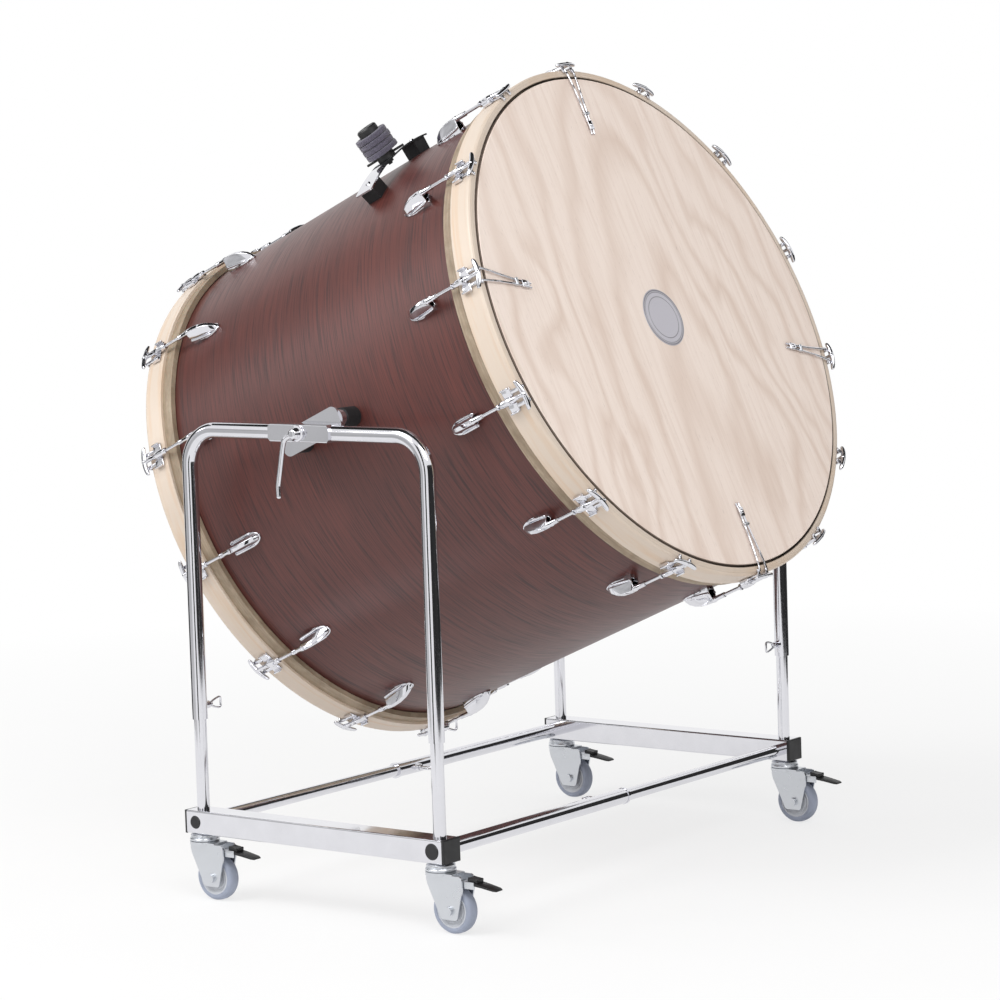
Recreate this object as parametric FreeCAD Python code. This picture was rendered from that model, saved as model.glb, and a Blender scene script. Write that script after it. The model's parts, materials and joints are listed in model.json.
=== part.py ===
"""Concert bass drum with a wooden front head, hung in a tilting stand on four braked casters.

The origin is on the floor midway between the casters. X runs along the base beams, the drum
tilts about an axis along Y, and Z is up. Lengths are millimetres and angles are degrees.
The far half of the stand is the near half turned half a turn about Z.
"""
import FreeCAD, Part
import math
import os

os.makedirs("parts", exist_ok=True)

# ---------------------------------------------------------------- driving sizes: the drum
SHELL_DIAMETER = 914.0
SHELL_LENGTH = 778.0
SHELL_WALL = 9.0
LUGS_PER_END = 14
DRUM_TILT = 23.7            # drum axis above level
PIVOT_HEIGHT = 817.0

RING_WALL = 7.0             # reinforcement ring glued inside each end of the shell
RING_WIDTH = 38.0
SKIN = 1.2                  # thickness of a natural head
FLESH_HOOP_WIDTH = 19.0
FLESH_HOOP_WALL = 8.4
FLESH_HOOP_DROP = 29.0      # from the head's face down to the flesh hoop
HOOP_WALL = 14.0            # counter hoop
HOOP_WIDTH = 44.0
HOOP_EDGE = 6.0             # rounding of the counter hoop's outer front edge
HOOP_INNER_EDGE = 3.0
HEAD_DISC_GAP = 9.0         # between the wooden head's rim and the counter hoop
HEAD_DISC = 12.0            # thickness of the wooden head
HEAD_DISC_EDGE = 1.5

# ---------------------------------------------------------------- driving sizes: tension set
ROD_HEIGHT = 23.0           # rod axis above the shell
ROD_RADIUS = 3.0
LUG_INSET = 92.0            # mouth of a lug, from the end of the shell
LUG_LENGTH = 62.0
LUG_HALF_WIDTH = 14.0
LUG_WALL = 2.4
LUG_CREST = 0.45            # flat crest of a lug, as a share of its width
LUG_POCKET = 24.0           # depth of the lug's open mouth
NUT_LENGTH = 30.0           # tension nut, from inside the lug's mouth
NUT_RADIUS = 4.6
CLAW_BARREL = 26.0
CLAW_BARREL_RADIUS = 6.6
CLAW_PLATE = 3.0
CLAW_HALF_WIDTH = 22.0
CLAW_HOOK_OFFSET = 12.0
CLAW_HOOK_WIDTH = 6.5
T_HANDLE_SPAN = 48.0
T_HANDLE_SWEEP = 5.0
T_HANDLE_WIDTH = 9.0
T_HANDLE_THICKNESS = 6.0
T_HANDLE_STEM = 30.0        # from the claw's barrel to the handle's middle
CLIP_REACH = 134.0          # hold-down clip, from the rod axis inwards
CLIP_WIRE = 2.0
CLIP_STATIONS = (0, 3, 7, 10)   # lug stations that carry a hold-down clip

# ---------------------------------------------------------------- driving sizes: cymbal arm
STRAP_INSET = 258.0         # middle of the strap, from the front end of the shell
STRAP_STATION = 1           # lug station the strap straddles
STRAP_HALF_ANGLE = 14.0
STRAP_HEIGHT = 25.0         # underside above the shell
STRAP_WIDTH = 40.0
STRAP_THICKNESS = 3.0
BLOCK_WIDTH = 30.0
BLOCK_HALF_ANGLE = 2.1
BLOCK_ANGLE = 10.8          # middle of a block from the middle of the strap
FELT_RADIUS = 30.0
FELT_THICKNESS = 10.4
FELT_COUNT = 4
FELT_RIM = 2.2
POST_RADIUS = 4.0
POST_BASE_RADIUS = 17.0
POST_BASE_HEIGHT = 11.0
POST_PIN_LENGTH = 88.0
POST_PIN_RADIUS = 2.2
CYMBAL_NUT_RADIUS = 19.0
CYMBAL_NUT_HEIGHT = 12.0

# ---------------------------------------------------------------- driving sizes: the stand
LEG_INSET = 25.0            # axis of a leg, from the end of its beam
OUTER_TUBE_RADIUS = 13.5
INNER_TUBE_RADIUS = 11.0
TUBE_FIT = 0.1              # radial running clearance between telescoping tubes
INNER_TUBE_WALL = 1.8
YOKE_BEND = 62.0            # centreline radius of the yoke's corners
YOKE_FOOT = 314.0           # lower end of the yoke's legs above the floor
INNER_LEG_TOP = 560.0
BEAM_BOTTOM = 116.0
BEAM_HEIGHT = 40.5
BEAM_WIDTH = 45.0
BEAM_LENGTH = 572.0         # over the end caps
BEAM_WALL = 2.5
CAP_THICKNESS = 5.0
CAP_SPIGOT = 4.0
CAP_WALL = 2.0
PLUG_FLANGE = 2.0
PLUG_SPIGOT = 9.0
INNER_CROSS_REACH = 250.0   # how far the inner cross tube goes past the middle
WING_BOSS_RADIUS = 7.0
WING_BOSS_LENGTH = 8.0
WING_SCREW_RADIUS = 3.0
WING_LOOP_LENGTH = 25.0
WING_LOOP_HALF_WIDTH = 9.0
WING_WIRE = 2.0
LEG_WING_HEIGHT = 336.0
CROSS_WING_PLACE = 50.0     # cross tube's wing screw, from the outer tube's open end

SLEEVE_LENGTH = 133.0       # pivot sleeve around the yoke's top bar
SLEEVE_HEIGHT = 30.0
SLEEVE_DEPTH = 33.0
SLEEVE_CORNER = 5.0
PIVOT_BOLT_RADIUS = 6.0
OPEN_PIVOT_GAP = 0.6        # extra radial room in the far yoke, where the loop is opened
PIVOT_PLATE_LENGTH = 138.0
PIVOT_PLATE_WIDTH = 43.0
PIVOT_PLATE_THICKNESS = 4.0
BUFFER_PLACE = 58.0         # rubber buffer, from the pivot along the drum
BUFFER_RADIUS = 17.0
BUFFER_LENGTH = 32.7        # from its cup to the shell
BUFFER_CUP_HEIGHT = 13.0
BUFFER_CUP_RADIUS = 15.0
LEVER_HUB_RADIUS = 10.0
LEVER_HUB_LENGTH = 17.0
LEVER_WIRE = 4.6
LEVER_DROP = 105.0
LEVER_LEAN = 36.0

# ---------------------------------------------------------------- driving sizes: the casters
WHEEL_RADIUS = 40.0
WHEEL_WIDTH = 24.0
TYRE_DEPTH = 10.0
CASTER_TRAIL = 28.0
AXLE_RADIUS = 4.0
CASTER_HEAD_RADIUS = 26.0
CASTER_HEAD_HEIGHT = 14.0
FORK_CROWN = 6.0
FORK_PLATE = 3.0
FORK_INNER_GAP = 2.5        # between the wheel and a fork plate
KING_PIN_RADIUS = 5.0
PEDAL_PIVOT_X = 47.0        # from the king pin, trailing side
PEDAL_PIVOT_DROP = 32.0     # below the beam
PEDAL_REACH = 121.0         # tip of the pedal from the king pin
PEDAL_THICKNESS = 5.0
PEDAL_PIN_RADIUS = 3.0

# ---------------------------------------------------------------- clearances
MOVING_GAP = 0.3            # between faces of different bodies
PIN_FIT = 0.05              # radial, pin in its hole

# ---------------------------------------------------------------- derived sizes
SHELL_RADIUS = SHELL_DIAMETER / 2
SHELL_HALF = SHELL_LENGTH / 2
HEAD_FACE = SHELL_HALF + SKIN
COLLAR_RADIUS = SHELL_RADIUS + SKIN
FLESH_TOP = HEAD_FACE - FLESH_HOOP_DROP
FLESH_BOTTOM = FLESH_TOP - FLESH_HOOP_WIDTH
FLESH_OUTER = COLLAR_RADIUS + FLESH_HOOP_WALL
HOOP_START = FLESH_TOP + SKIN
HOOP_END = HOOP_START + HOOP_WIDTH
HOOP_INNER = COLLAR_RADIUS + 0.8
HOOP_OUTER = HOOP_INNER + HOOP_WALL
DISC_RADIUS = HOOP_INNER - HEAD_DISC_GAP
ROD_AXIS = SHELL_RADIUS + ROD_HEIGHT
LUG_END = SHELL_HALF - LUG_INSET
LUG_START = LUG_END - LUG_LENGTH
STRAP_PLACE = SHELL_HALF - STRAP_INSET
BARREL_START = HOOP_START - 6.0
BARREL_END = BARREL_START + CLAW_BARREL
LEG_X = BEAM_LENGTH / 2 - LEG_INSET
PLATE_INNER = SHELL_RADIUS + BUFFER_LENGTH + BUFFER_CUP_HEIGHT
PLATE_OUTER = PLATE_INNER + PIVOT_PLATE_THICKNESS
HALF_Y = PLATE_OUTER + MOVING_GAP + SLEEVE_DEPTH / 2
BORE_RADIUS = INNER_TUBE_RADIUS + TUBE_FIT
BEAM_TOP = BEAM_BOTTOM + BEAM_HEIGHT
BEAM_MIDDLE = BEAM_BOTTOM + BEAM_HEIGHT / 2
BEAM_BODY = BEAM_LENGTH / 2 - CAP_THICKNESS
STATION_STEP = 360.0 / LUGS_PER_END
SLEEVE_FRONT = HALF_Y + SLEEVE_DEPTH / 2

V = FreeCAD.Vector
ORIGIN = V(0, 0, 0)
AXIS_X = V(1, 0, 0)
AXIS_Y = V(0, 1, 0)
AXIS_Z = V(0, 0, 1)


# ---------------------------------------------------------------- general helpers
def export(name, shape):
    """Write one node as a STEP file."""
    shape.exportStep(os.path.join("parts", name + ".step"))


def rod(radius, start, end):
    """Solid cylinder between two points."""
    start, end = V(*start), V(*end)
    return Part.makeCylinder(radius, (end - start).Length, start, end - start)


def box(x, y, z):
    """Box given by three (low, high) pairs."""
    size = [high - low for low, high in (x, y, z)]
    return Part.makeBox(*size, V(x[0], y[0], z[0]))


def revolved(points, axis):
    """Solid of revolution about an axis through the origin, from a closed outline."""
    outline = Part.makePolygon([V(*p) for p in points + points[:1]])
    return Part.Face(outline).revolve(ORIGIN, axis, 360)


def ring_x(outer, inner, start, end):
    """Plain ring about the drum's axis."""
    return revolved([(start, inner, 0), (end, inner, 0), (end, outer, 0), (start, outer, 0)], AXIS_X)


def rounded_outline(points, radius):
    """Closed wire through the points with every corner rounded."""
    count = len(points)
    corners = [V(*p) for p in points]
    edges = []
    joints = []
    for i, corner in enumerate(corners):
        before = (corners[i - 1] - corner).normalize()
        after = (corners[(i + 1) % count] - corner).normalize()
        half = before.getAngle(after) / 2
        setback = radius / math.tan(half)
        start = corner + before * setback
        end = corner + after * setback
        middle = (before + after).normalize()
        centre = corner + middle * (radius / math.sin(half))
        edges.append(Part.Arc(start, centre - middle * radius, end).toShape())
        joints.append((start, end))
    for i in range(count):
        start, end = joints[i][1], joints[(i + 1) % count][0]
        if start.distanceToPoint(end) > 1e-6:
            edges.append(Part.makeLine(start, end))
    return Part.Wire(Part.__sortEdges__(edges))


def prism(wire, direction):
    """Extrude a closed wire."""
    return Part.Face(wire).extrude(direction)


def fuse_all(shapes):
    """One solid from pieces that overlap or touch."""
    result = shapes[0]
    if len(shapes) > 1:
        result = result.multiFuse(shapes[1:])
    return result.removeSplitter()


def group(shapes):
    """Separate solids kept side by side in one node."""
    return Part.makeCompound(shapes)


def turned(shape, angle, axis=AXIS_X, centre=ORIGIN):
    """Copy of a shape turned about an axis."""
    copy = shape.copy()
    copy.rotate(centre, axis, angle)
    return copy


def moved(shape, x=0, y=0, z=0):
    """Copy of a shape shifted."""
    copy = shape.copy()
    copy.translate(V(x, y, z))
    return copy


def station_angle(index):
    """Angle of a lug station about the drum's axis; 90 is the top."""
    return 90 + index * STATION_STEP


def around(shape, stations=None):
    """Copies of a piece made at angle 0, one at each lug station."""
    if stations is None:
        stations = range(LUGS_PER_END)
    return [turned(shape, station_angle(i)) for i in stations]


def both_ends(shapes):
    """A piece list with its mirror images at the drum's other end."""
    return shapes + [s.mirror(ORIGIN, AXIS_X) for s in shapes]


def hang(shape):
    """Move a piece from the drum's own axes to its place in the stand."""
    placed = turned(shape, -DRUM_TILT, AXIS_Y)
    return moved(placed, z=PIVOT_HEIGHT)


# ---------------------------------------------------------------- drum: shell and heads
def shell():
    """Wooden cylinder with a bearing edge and a reinforcement ring at each end."""
    inner = SHELL_RADIUS - SHELL_WALL
    lip = inner - RING_WALL
    step = SHELL_HALF - RING_WIDTH
    bevel = SHELL_WALL * 0.7
    half = [
        (0, inner, 0), (step - RING_WALL, inner, 0), (step, lip, 0), (SHELL_HALF - bevel, lip, 0),
        (SHELL_HALF, inner + SHELL_WALL * 0.4, 0), (SHELL_HALF, SHELL_RADIUS, 0),
    ]
    mirrored = [(-x, r, 0) for x, r, _ in reversed(half[1:])]
    return revolved(half + mirrored, AXIS_X)


def skin_head():
    """Natural head: flat skin, collar over the bearing edge and lap around the flesh hoop."""
    lap = FLESH_OUTER + SKIN
    points = [
        (HEAD_FACE, 0, 0), (HEAD_FACE, COLLAR_RADIUS, 0), (FLESH_TOP + SKIN, COLLAR_RADIUS, 0),
        (FLESH_TOP + SKIN, lap, 0), (FLESH_BOTTOM - SKIN, lap, 0),
        (FLESH_BOTTOM - SKIN, COLLAR_RADIUS, 0), (FLESH_BOTTOM, COLLAR_RADIUS, 0),
        (FLESH_BOTTOM, FLESH_OUTER, 0), (FLESH_TOP, FLESH_OUTER, 0), (FLESH_TOP, SHELL_RADIUS, 0),
        (SHELL_HALF, SHELL_RADIUS, 0), (SHELL_HALF, 0, 0),
    ]
    return revolved(points, AXIS_X)


def flesh_hoop():
    """Wooden ring that the skin is lapped around."""
    return ring_x(FLESH_OUTER, COLLAR_RADIUS, FLESH_BOTTOM, FLESH_TOP)


def rounded_corner(along, radius, size, quarter):
    """Points of a corner rounded in three flats, about its centre; quarter is the angle it starts at."""
    angles = [math.radians(quarter + step * 30) for step in range(4)]
    return [(along + size * math.cos(a), radius + size * math.sin(a), 0) for a in angles]


def counter_hoop():
    """Wide maple hoop that presses on the flesh hoop; its front edges are rounded."""
    inner = rounded_corner(HOOP_END - HOOP_INNER_EDGE, HOOP_INNER + HOOP_INNER_EDGE, HOOP_INNER_EDGE, -90)
    outer = rounded_corner(HOOP_END - HOOP_EDGE, HOOP_OUTER - HOOP_EDGE, HOOP_EDGE, 0)
    return revolved([(HOOP_START, HOOP_INNER, 0)] + inner + outer + [(HOOP_START, HOOP_OUTER, 0)], AXIS_X)


def wooden_head():
    """Plywood playing disc that lies on the front skin inside the counter hoop."""
    face = HEAD_FACE + HEAD_DISC
    edge = HEAD_DISC_EDGE
    points = [
        (HEAD_FACE, 0, 0), (HEAD_FACE, DISC_RADIUS, 0), (face - edge, DISC_RADIUS, 0),
        (face, DISC_RADIUS - edge, 0), (face, 0, 0),
    ]
    return revolved(points, AXIS_X)


# ---------------------------------------------------------------- drum: tension set
def lug_section(along, half_width, height):
    """Six-sided section of a lug, standing on the shell."""
    crest = half_width * LUG_CREST
    low = SHELL_RADIUS - 4
    shoulder = SHELL_RADIUS + height * 0.6
    top = SHELL_RADIUS + height
    points = [(low, -half_width), (shoulder, -half_width), (top, -crest), (top, crest),
              (shoulder, half_width), (low, half_width)]
    return Part.makePolygon([V(along, y, z) for y, z in points + points[:1]])


def lug():
    """Hollow cast lug on a rounded foot: a faceted scoop, low at the back and open towards the hoop."""
    tall = ROD_HEIGHT + NUT_RADIUS + LUG_WALL + 0.4
    wide = LUG_HALF_WIDTH * 0.78
    stages = [(0, 0.4, 0.12), (0.08, 0.62, 0.45), (0.3, 0.86, 0.76), (0.6, 0.97, 0.95), (1, 1, 1)]
    scoop = Part.makeLoft([lug_section(LUG_START + LUG_LENGTH * share, wide * width, tall * height)
                           for share, width, height in stages], True, True)
    back = LUG_END - LUG_POCKET
    mouth = [lug_section(x, wide - LUG_WALL, tall - LUG_WALL) for x in (back, LUG_END + 1)]
    pocket = Part.makeLoft(mouth, True, True)
    front = LUG_END - 6
    skirt = rounded_outline([(LUG_START, 0, -LUG_HALF_WIDTH), (front, 0, -LUG_HALF_WIDTH),
                             (front, 0, LUG_HALF_WIDTH), (LUG_START, 0, LUG_HALF_WIDTH)], 11)
    foot = moved(prism(skirt, AXIS_Y * 8), y=SHELL_RADIUS - 4)
    shell_body = Part.makeCylinder(SHELL_RADIUS, SHELL_LENGTH, V(-SHELL_HALF, 0, 0), AXIS_X)
    return scoop.fuse(foot).cut(pocket).cut(shell_body)


def tension_nut():
    """Swivel nut that sits in the lug's mouth and carries the rod."""
    collar = LUG_END - 7
    points = [
        (collar, 0, 0), (collar, NUT_RADIUS, 0), (collar + NUT_LENGTH, NUT_RADIUS, 0),
        (collar + NUT_LENGTH, 0, 0),
    ]
    return moved(revolved(points, AXIS_X), y=ROD_AXIS)


def claw():
    """Claw hook: a six-sided barrel for the rod, two ears and two hooks over the hoop."""
    barrel_outline = Part.makePolygon([
        V(BARREL_START, CLAW_BARREL_RADIUS * math.cos(math.radians(60 * i)),
          CLAW_BARREL_RADIUS * math.sin(math.radians(60 * i))) for i in range(7)])
    barrel = moved(prism(barrel_outline, AXIS_X * CLAW_BARREL), y=ROD_AXIS)
    low = HOOP_OUTER + 0.1
    high = low + CLAW_PLATE
    ears = box((BARREL_END - 8, BARREL_END + 8), (low, high), (-CLAW_HALF_WIDTH, CLAW_HALF_WIDTH))
    notch = box((BARREL_END + 1, BARREL_END + 9), (low - 1, high + 9), (-8, 8))
    web = box((BARREL_END - 8, BARREL_END + 1), (low, ROD_AXIS), (-CLAW_BARREL_RADIUS, CLAW_BARREL_RADIUS))
    pieces = [barrel, ears.cut(notch), web]
    front = HOOP_END + 0.3
    inner = HOOP_INNER - 0.7
    half = CLAW_HOOK_WIDTH / 2
    for side in (-1, 1):
        z = (side * CLAW_HOOK_OFFSET - half, side * CLAW_HOOK_OFFSET + half)
        pieces.append(box((BARREL_END + 6, front + CLAW_PLATE), (low, high), z))
        pieces.append(box((front, front + CLAW_PLATE), (inner - CLAW_PLATE, high), z))
        pieces.append(box((front - 8, front + CLAW_PLATE), (inner - CLAW_PLATE, inner), z))
    bore = rod(ROD_RADIUS + PIN_FIT, (BARREL_START - 1, ROD_AXIS, 0), (BARREL_END + 2, ROD_AXIS, 0))
    return fuse_all(pieces).cut(bore)


def tension_rod():
    """T-handled tension rod: thread, shoulder that bears on the claw, stem and crescent handle."""
    start = LUG_END - 7 + NUT_LENGTH
    middle = BARREL_END + T_HANDLE_STEM
    shank = [
        (start, 0, 0), (start, ROD_RADIUS, 0), (BARREL_END + 1, ROD_RADIUS, 0),
        (BARREL_END + 1, ROD_RADIUS + 2, 0), (middle, ROD_RADIUS + 1, 0), (middle, 0, 0),
    ]
    stem = moved(revolved(shank, AXIS_X), y=ROD_AXIS)
    front, back = [], []
    for share in (-1, -0.5, 0, 0.5, 1):
        along = middle - T_HANDLE_SWEEP * share * share
        half = T_HANDLE_WIDTH / 2 * (1 - 0.4 * abs(share))
        front.append(V(along + half, 0, share * T_HANDLE_SPAN / 2))
        back.append(V(along - half, 0, share * T_HANDLE_SPAN / 2))
    outline = front + back[::-1] + front[:1]
    handle = prism(Part.makePolygon(outline), AXIS_Y * T_HANDLE_THICKNESS)
    return stem.fuse(moved(handle, y=ROD_AXIS - T_HANDLE_THICKNESS / 2)).removeSplitter()


def hold_down_clip():
    """Two sprung wires from the claw's hooks to a riveted plate that presses on the wooden head."""
    face = HEAD_FACE + HEAD_DISC
    start = HOOP_END + CLAW_PLATE + 0.3 + CLIP_WIRE
    past_hook = HOOP_INNER - CLAW_PLATE - 0.7 - CLIP_WIRE - MOVING_GAP
    tip = ROD_AXIS - CLIP_REACH
    plate_near = tip + 24
    lift = face + CLIP_WIRE + 0.6
    pieces = []
    for side in (-1, 1):
        knee = (lift + 2, DISC_RADIUS - 14, side * 7.6)
        bend = (start, past_hook, side * 10)
        pieces.append(rod(CLIP_WIRE, (start, HOOP_INNER + 12, side * 11), bend))
        pieces.append(Part.makeSphere(CLIP_WIRE, V(*bend)))
        pieces.append(rod(CLIP_WIRE, bend, knee))
        pieces.append(rod(CLIP_WIRE, knee, (lift, plate_near - 6, side * 3.2)))
        pieces.append(rod(CLIP_WIRE * 0.9, (lift, plate_near - 6, side * 3.2), (lift, tip, side * 3.2)))
    plate = rounded_outline(
        [(lift, tip + 8, -6.5), (lift, plate_near, -6.5), (lift, plate_near, 6.5), (lift, tip + 8, 6.5)], 3)
    pieces.append(prism(plate, AXIS_X * 3.4))
    pieces.append(rod(3.2, (lift, tip + 16, 0), (lift + 4.6, tip + 16, 0)))
    collar_y = tip + 0.30 * CLIP_REACH
    pieces.append(box((lift - 2.4, lift + 3.2), (collar_y, collar_y + 6), (-7, 7)))
    return fuse_all(pieces)


# ---------------------------------------------------------------- drum: cymbal arm
def strap_sector(inner, outer, half_angle, width):
    """Arched slab concentric with the shell, centred on angle 0."""
    ring = ring_x(outer, inner, STRAP_PLACE - width / 2, STRAP_PLACE + width / 2)
    reach = outer * 2
    side = reach * math.tan(math.radians(half_angle))
    wedge = Part.makePolygon([
        V(STRAP_PLACE - width, 0, 0), V(STRAP_PLACE - width, reach, side),
        V(STRAP_PLACE - width, reach, -side), V(STRAP_PLACE - width, 0, 0)])
    return ring.common(prism(wedge, AXIS_X * (width * 2)))


def strap_place(shape):
    """Turn a piece made at angle 0 to the strap's lug station."""
    return turned(shape, station_angle(STRAP_STATION))


def cymbal_strap():
    """Arched steel strap with a hole for the post and a countersunk screw in each end."""
    inner = SHELL_RADIUS + STRAP_HEIGHT
    strap = strap_sector(inner, inner + STRAP_THICKNESS, STRAP_HALF_ANGLE, STRAP_WIDTH)
    corners = [e for e in strap.Edges if abs(e.Length - STRAP_THICKNESS) < 0.05]
    strap = strap.makeFillet(5, corners)
    hole = rod(POST_RADIUS + PIN_FIT, (STRAP_PLACE, inner - 5, 0), (STRAP_PLACE, inner + 9, 0))
    strap = strap.cut(hole)
    top = inner + STRAP_THICKNESS
    head = Part.makeCone(5.2, 3.4, 2.6, V(STRAP_PLACE, top - 0.1, 0), AXIS_Y)
    heads = [turned(head, side * BLOCK_ANGLE) for side in (-1, 1)]
    return strap_place(fuse_all([strap] + heads))


def strap_blocks():
    """Rubber feet between the strap and the shell."""
    outer = SHELL_RADIUS + STRAP_HEIGHT
    foot = strap_sector(SHELL_RADIUS, outer, BLOCK_HALF_ANGLE, BLOCK_WIDTH)
    return group([strap_place(turned(foot, side * BLOCK_ANGLE)) for side in (-1, 1)])


def cymbal_post():
    """Threaded post through the strap with a base disc and a cross pin."""
    base = SHELL_RADIUS + STRAP_HEIGHT + STRAP_THICKNESS
    top = base + POST_BASE_HEIGHT + FELT_COUNT * FELT_THICKNESS + CYMBAL_NUT_HEIGHT - 3
    foot = rod(POST_BASE_RADIUS, (STRAP_PLACE, base + 0.1, 0), (STRAP_PLACE, base + POST_BASE_HEIGHT, 0))
    stud = rod(POST_RADIUS, (STRAP_PLACE, base - 12, 0), (STRAP_PLACE, top, 0))
    nut = rod(8, (STRAP_PLACE, base - STRAP_THICKNESS - 6, 0), (STRAP_PLACE, base - STRAP_THICKNESS, 0))
    pin_height = base + POST_BASE_HEIGHT / 2
    ends = [(STRAP_PLACE + side * POST_PIN_LENGTH / 2, pin_height, 0) for side in (-1, 1)]
    pin = rod(POST_PIN_RADIUS, *ends)
    return strap_place(fuse_all([foot, stud, nut, pin]))


def cymbal_felts():
    """Stack of thick felt washers with softly rounded rims."""
    base = SHELL_RADIUS + STRAP_HEIGHT + STRAP_THICKNESS + POST_BASE_HEIGHT
    felts = []
    for i in range(FELT_COUNT):
        low = base + i * FELT_THICKNESS
        high = low + FELT_THICKNESS
        bore = POST_RADIUS + PIN_FIT
        rim = FELT_RADIUS - FELT_RIM
        points = [(bore, low, 0), (rim, low, 0), (FELT_RADIUS, low + FELT_RIM, 0),
                  (FELT_RADIUS, high - FELT_RIM, 0), (rim, high, 0), (bore, high, 0)]
        felts.append(strap_place(moved(revolved(points, AXIS_Y), x=STRAP_PLACE)))
    return group(felts)


def cymbal_nut():
    """Round hand nut on top of the felts."""
    low = SHELL_RADIUS + STRAP_HEIGHT + STRAP_THICKNESS + POST_BASE_HEIGHT + FELT_COUNT * FELT_THICKNESS
    low += MOVING_GAP
    high = low + CYMBAL_NUT_HEIGHT
    bore = POST_RADIUS + PIN_FIT
    points = [(bore, low, 0), (CYMBAL_NUT_RADIUS, low, 0), (CYMBAL_NUT_RADIUS, high - 2.5, 0),
              (CYMBAL_NUT_RADIUS - 2.5, high, 0), (bore, high, 0)]
    return strap_place(moved(revolved(points, AXIS_Y), x=STRAP_PLACE))


# ---------------------------------------------------------------- drum: pivots
def pivot_plate():
    """Swing plate with its pivot bolt and two buffer cups, on the near side, in the drum's axes."""
    half_x = PIVOT_PLATE_LENGTH / 2
    half_z = PIVOT_PLATE_WIDTH / 2
    outline = rounded_outline(
        [(-half_x, -PLATE_OUTER, -half_z), (half_x, -PLATE_OUTER, -half_z),
         (half_x, -PLATE_OUTER, half_z), (-half_x, -PLATE_OUTER, half_z)], 14)
    pieces = [prism(outline, AXIS_Y * PIVOT_PLATE_THICKNESS)]
    pieces.append(rod(PIVOT_BOLT_RADIUS, (0, -PLATE_INNER - 1, 0),
                      (0, -SLEEVE_FRONT - LEVER_HUB_LENGTH + 3, 0)))
    pieces.append(rod(PIVOT_BOLT_RADIUS * 1.7, (0, -PLATE_INNER, 0), (0, -PLATE_INNER + 7, 0)))
    for side in (-1, 1):
        x = side * BUFFER_PLACE
        pieces.append(rod(BUFFER_CUP_RADIUS, (x, -PLATE_INNER - 1, 0),
                          (x, -PLATE_INNER + BUFFER_CUP_HEIGHT, 0)))
    return fuse_all(pieces)


def pivot_buffers():
    """Rubber buffers between the swing plates' cups and the shell."""
    shell_body = Part.makeCylinder(SHELL_RADIUS, SHELL_LENGTH, V(-SHELL_HALF, 0, 0), AXIS_X)
    start = -PLATE_INNER + BUFFER_CUP_HEIGHT
    buffers = []
    for y_side in (0, 180):
        for side in (-1, 1):
            x = side * BUFFER_PLACE
            pad = rod(BUFFER_RADIUS, (x, start, 0), (x, -SHELL_RADIUS + 2, 0)).cut(shell_body)
            buffers.append(turned(pad, y_side))
    return group(buffers)


# ---------------------------------------------------------------- stand: yoke
def yoke_pipe(radius):
    """Solid U-shaped bar along the yoke's centreline."""
    top = PIVOT_HEIGHT
    bend = YOKE_BEND
    diagonal = bend * math.sqrt(0.5)
    y = -HALF_Y
    corner = LEG_X - bend + diagonal
    rise = top - bend + diagonal
    path = Part.Wire([
        Part.makeLine(V(-LEG_X, y, YOKE_FOOT), V(-LEG_X, y, top - bend)),
        Part.Arc(V(-LEG_X, y, top - bend), V(-corner, y, rise), V(-LEG_X + bend, y, top)).toShape(),
        Part.makeLine(V(-LEG_X + bend, y, top), V(LEG_X - bend, y, top)),
        Part.Arc(V(LEG_X - bend, y, top), V(corner, y, rise), V(LEG_X, y, top - bend)).toShape(),
        Part.makeLine(V(LEG_X, y, top - bend), V(LEG_X, y, YOKE_FOOT)),
    ])
    profile = Part.Wire(Part.makeCircle(radius, V(-LEG_X, y, YOKE_FOOT), AXIS_Z))
    return path.makePipeShell([profile], True, False)


def wing_boss(centre, direction):
    """Nut welded to a tube for a wing screw."""
    start = centre + direction * (OUTER_TUBE_RADIUS - 1)
    return Part.makeCylinder(WING_BOSS_RADIUS, WING_BOSS_LENGTH + 1, start, direction)


def wing_hole(centre, direction):
    """Bore for a wing screw through the boss and one wall of the tube."""
    start = centre + direction * (INNER_TUBE_RADIUS / 2)
    length = OUTER_TUBE_RADIUS + WING_BOSS_LENGTH + 2
    return Part.makeCylinder(WING_SCREW_RADIUS + PIN_FIT, length, start, direction)


def yoke_wing_places():
    """Centre on the leg and direction of each of the yoke's two wing screws."""
    return [(V(x, -HALF_Y, LEG_WING_HEIGHT), AXIS_Y) for x in (-LEG_X, LEG_X)]


def yoke(pivot_gap):
    """U-shaped tube that carries one pivot; pivot_gap is the bolt's radial clearance."""
    pieces = [yoke_pipe(OUTER_TUBE_RADIUS)]
    for centre, direction in yoke_wing_places():
        pieces.append(wing_boss(centre, direction))
    tube = fuse_all(pieces).cut(yoke_pipe(BORE_RADIUS))
    for centre, direction in yoke_wing_places():
        tube = tube.cut(wing_hole(centre, direction))
    return tube.cut(pivot_hole(pivot_gap))


def pivot_hole(gap):
    """Cross bore for the pivot bolt."""
    return rod(PIVOT_BOLT_RADIUS + gap, (0, -HALF_Y - 40, PIVOT_HEIGHT), (0, -HALF_Y + 40, PIVOT_HEIGHT))


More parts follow.
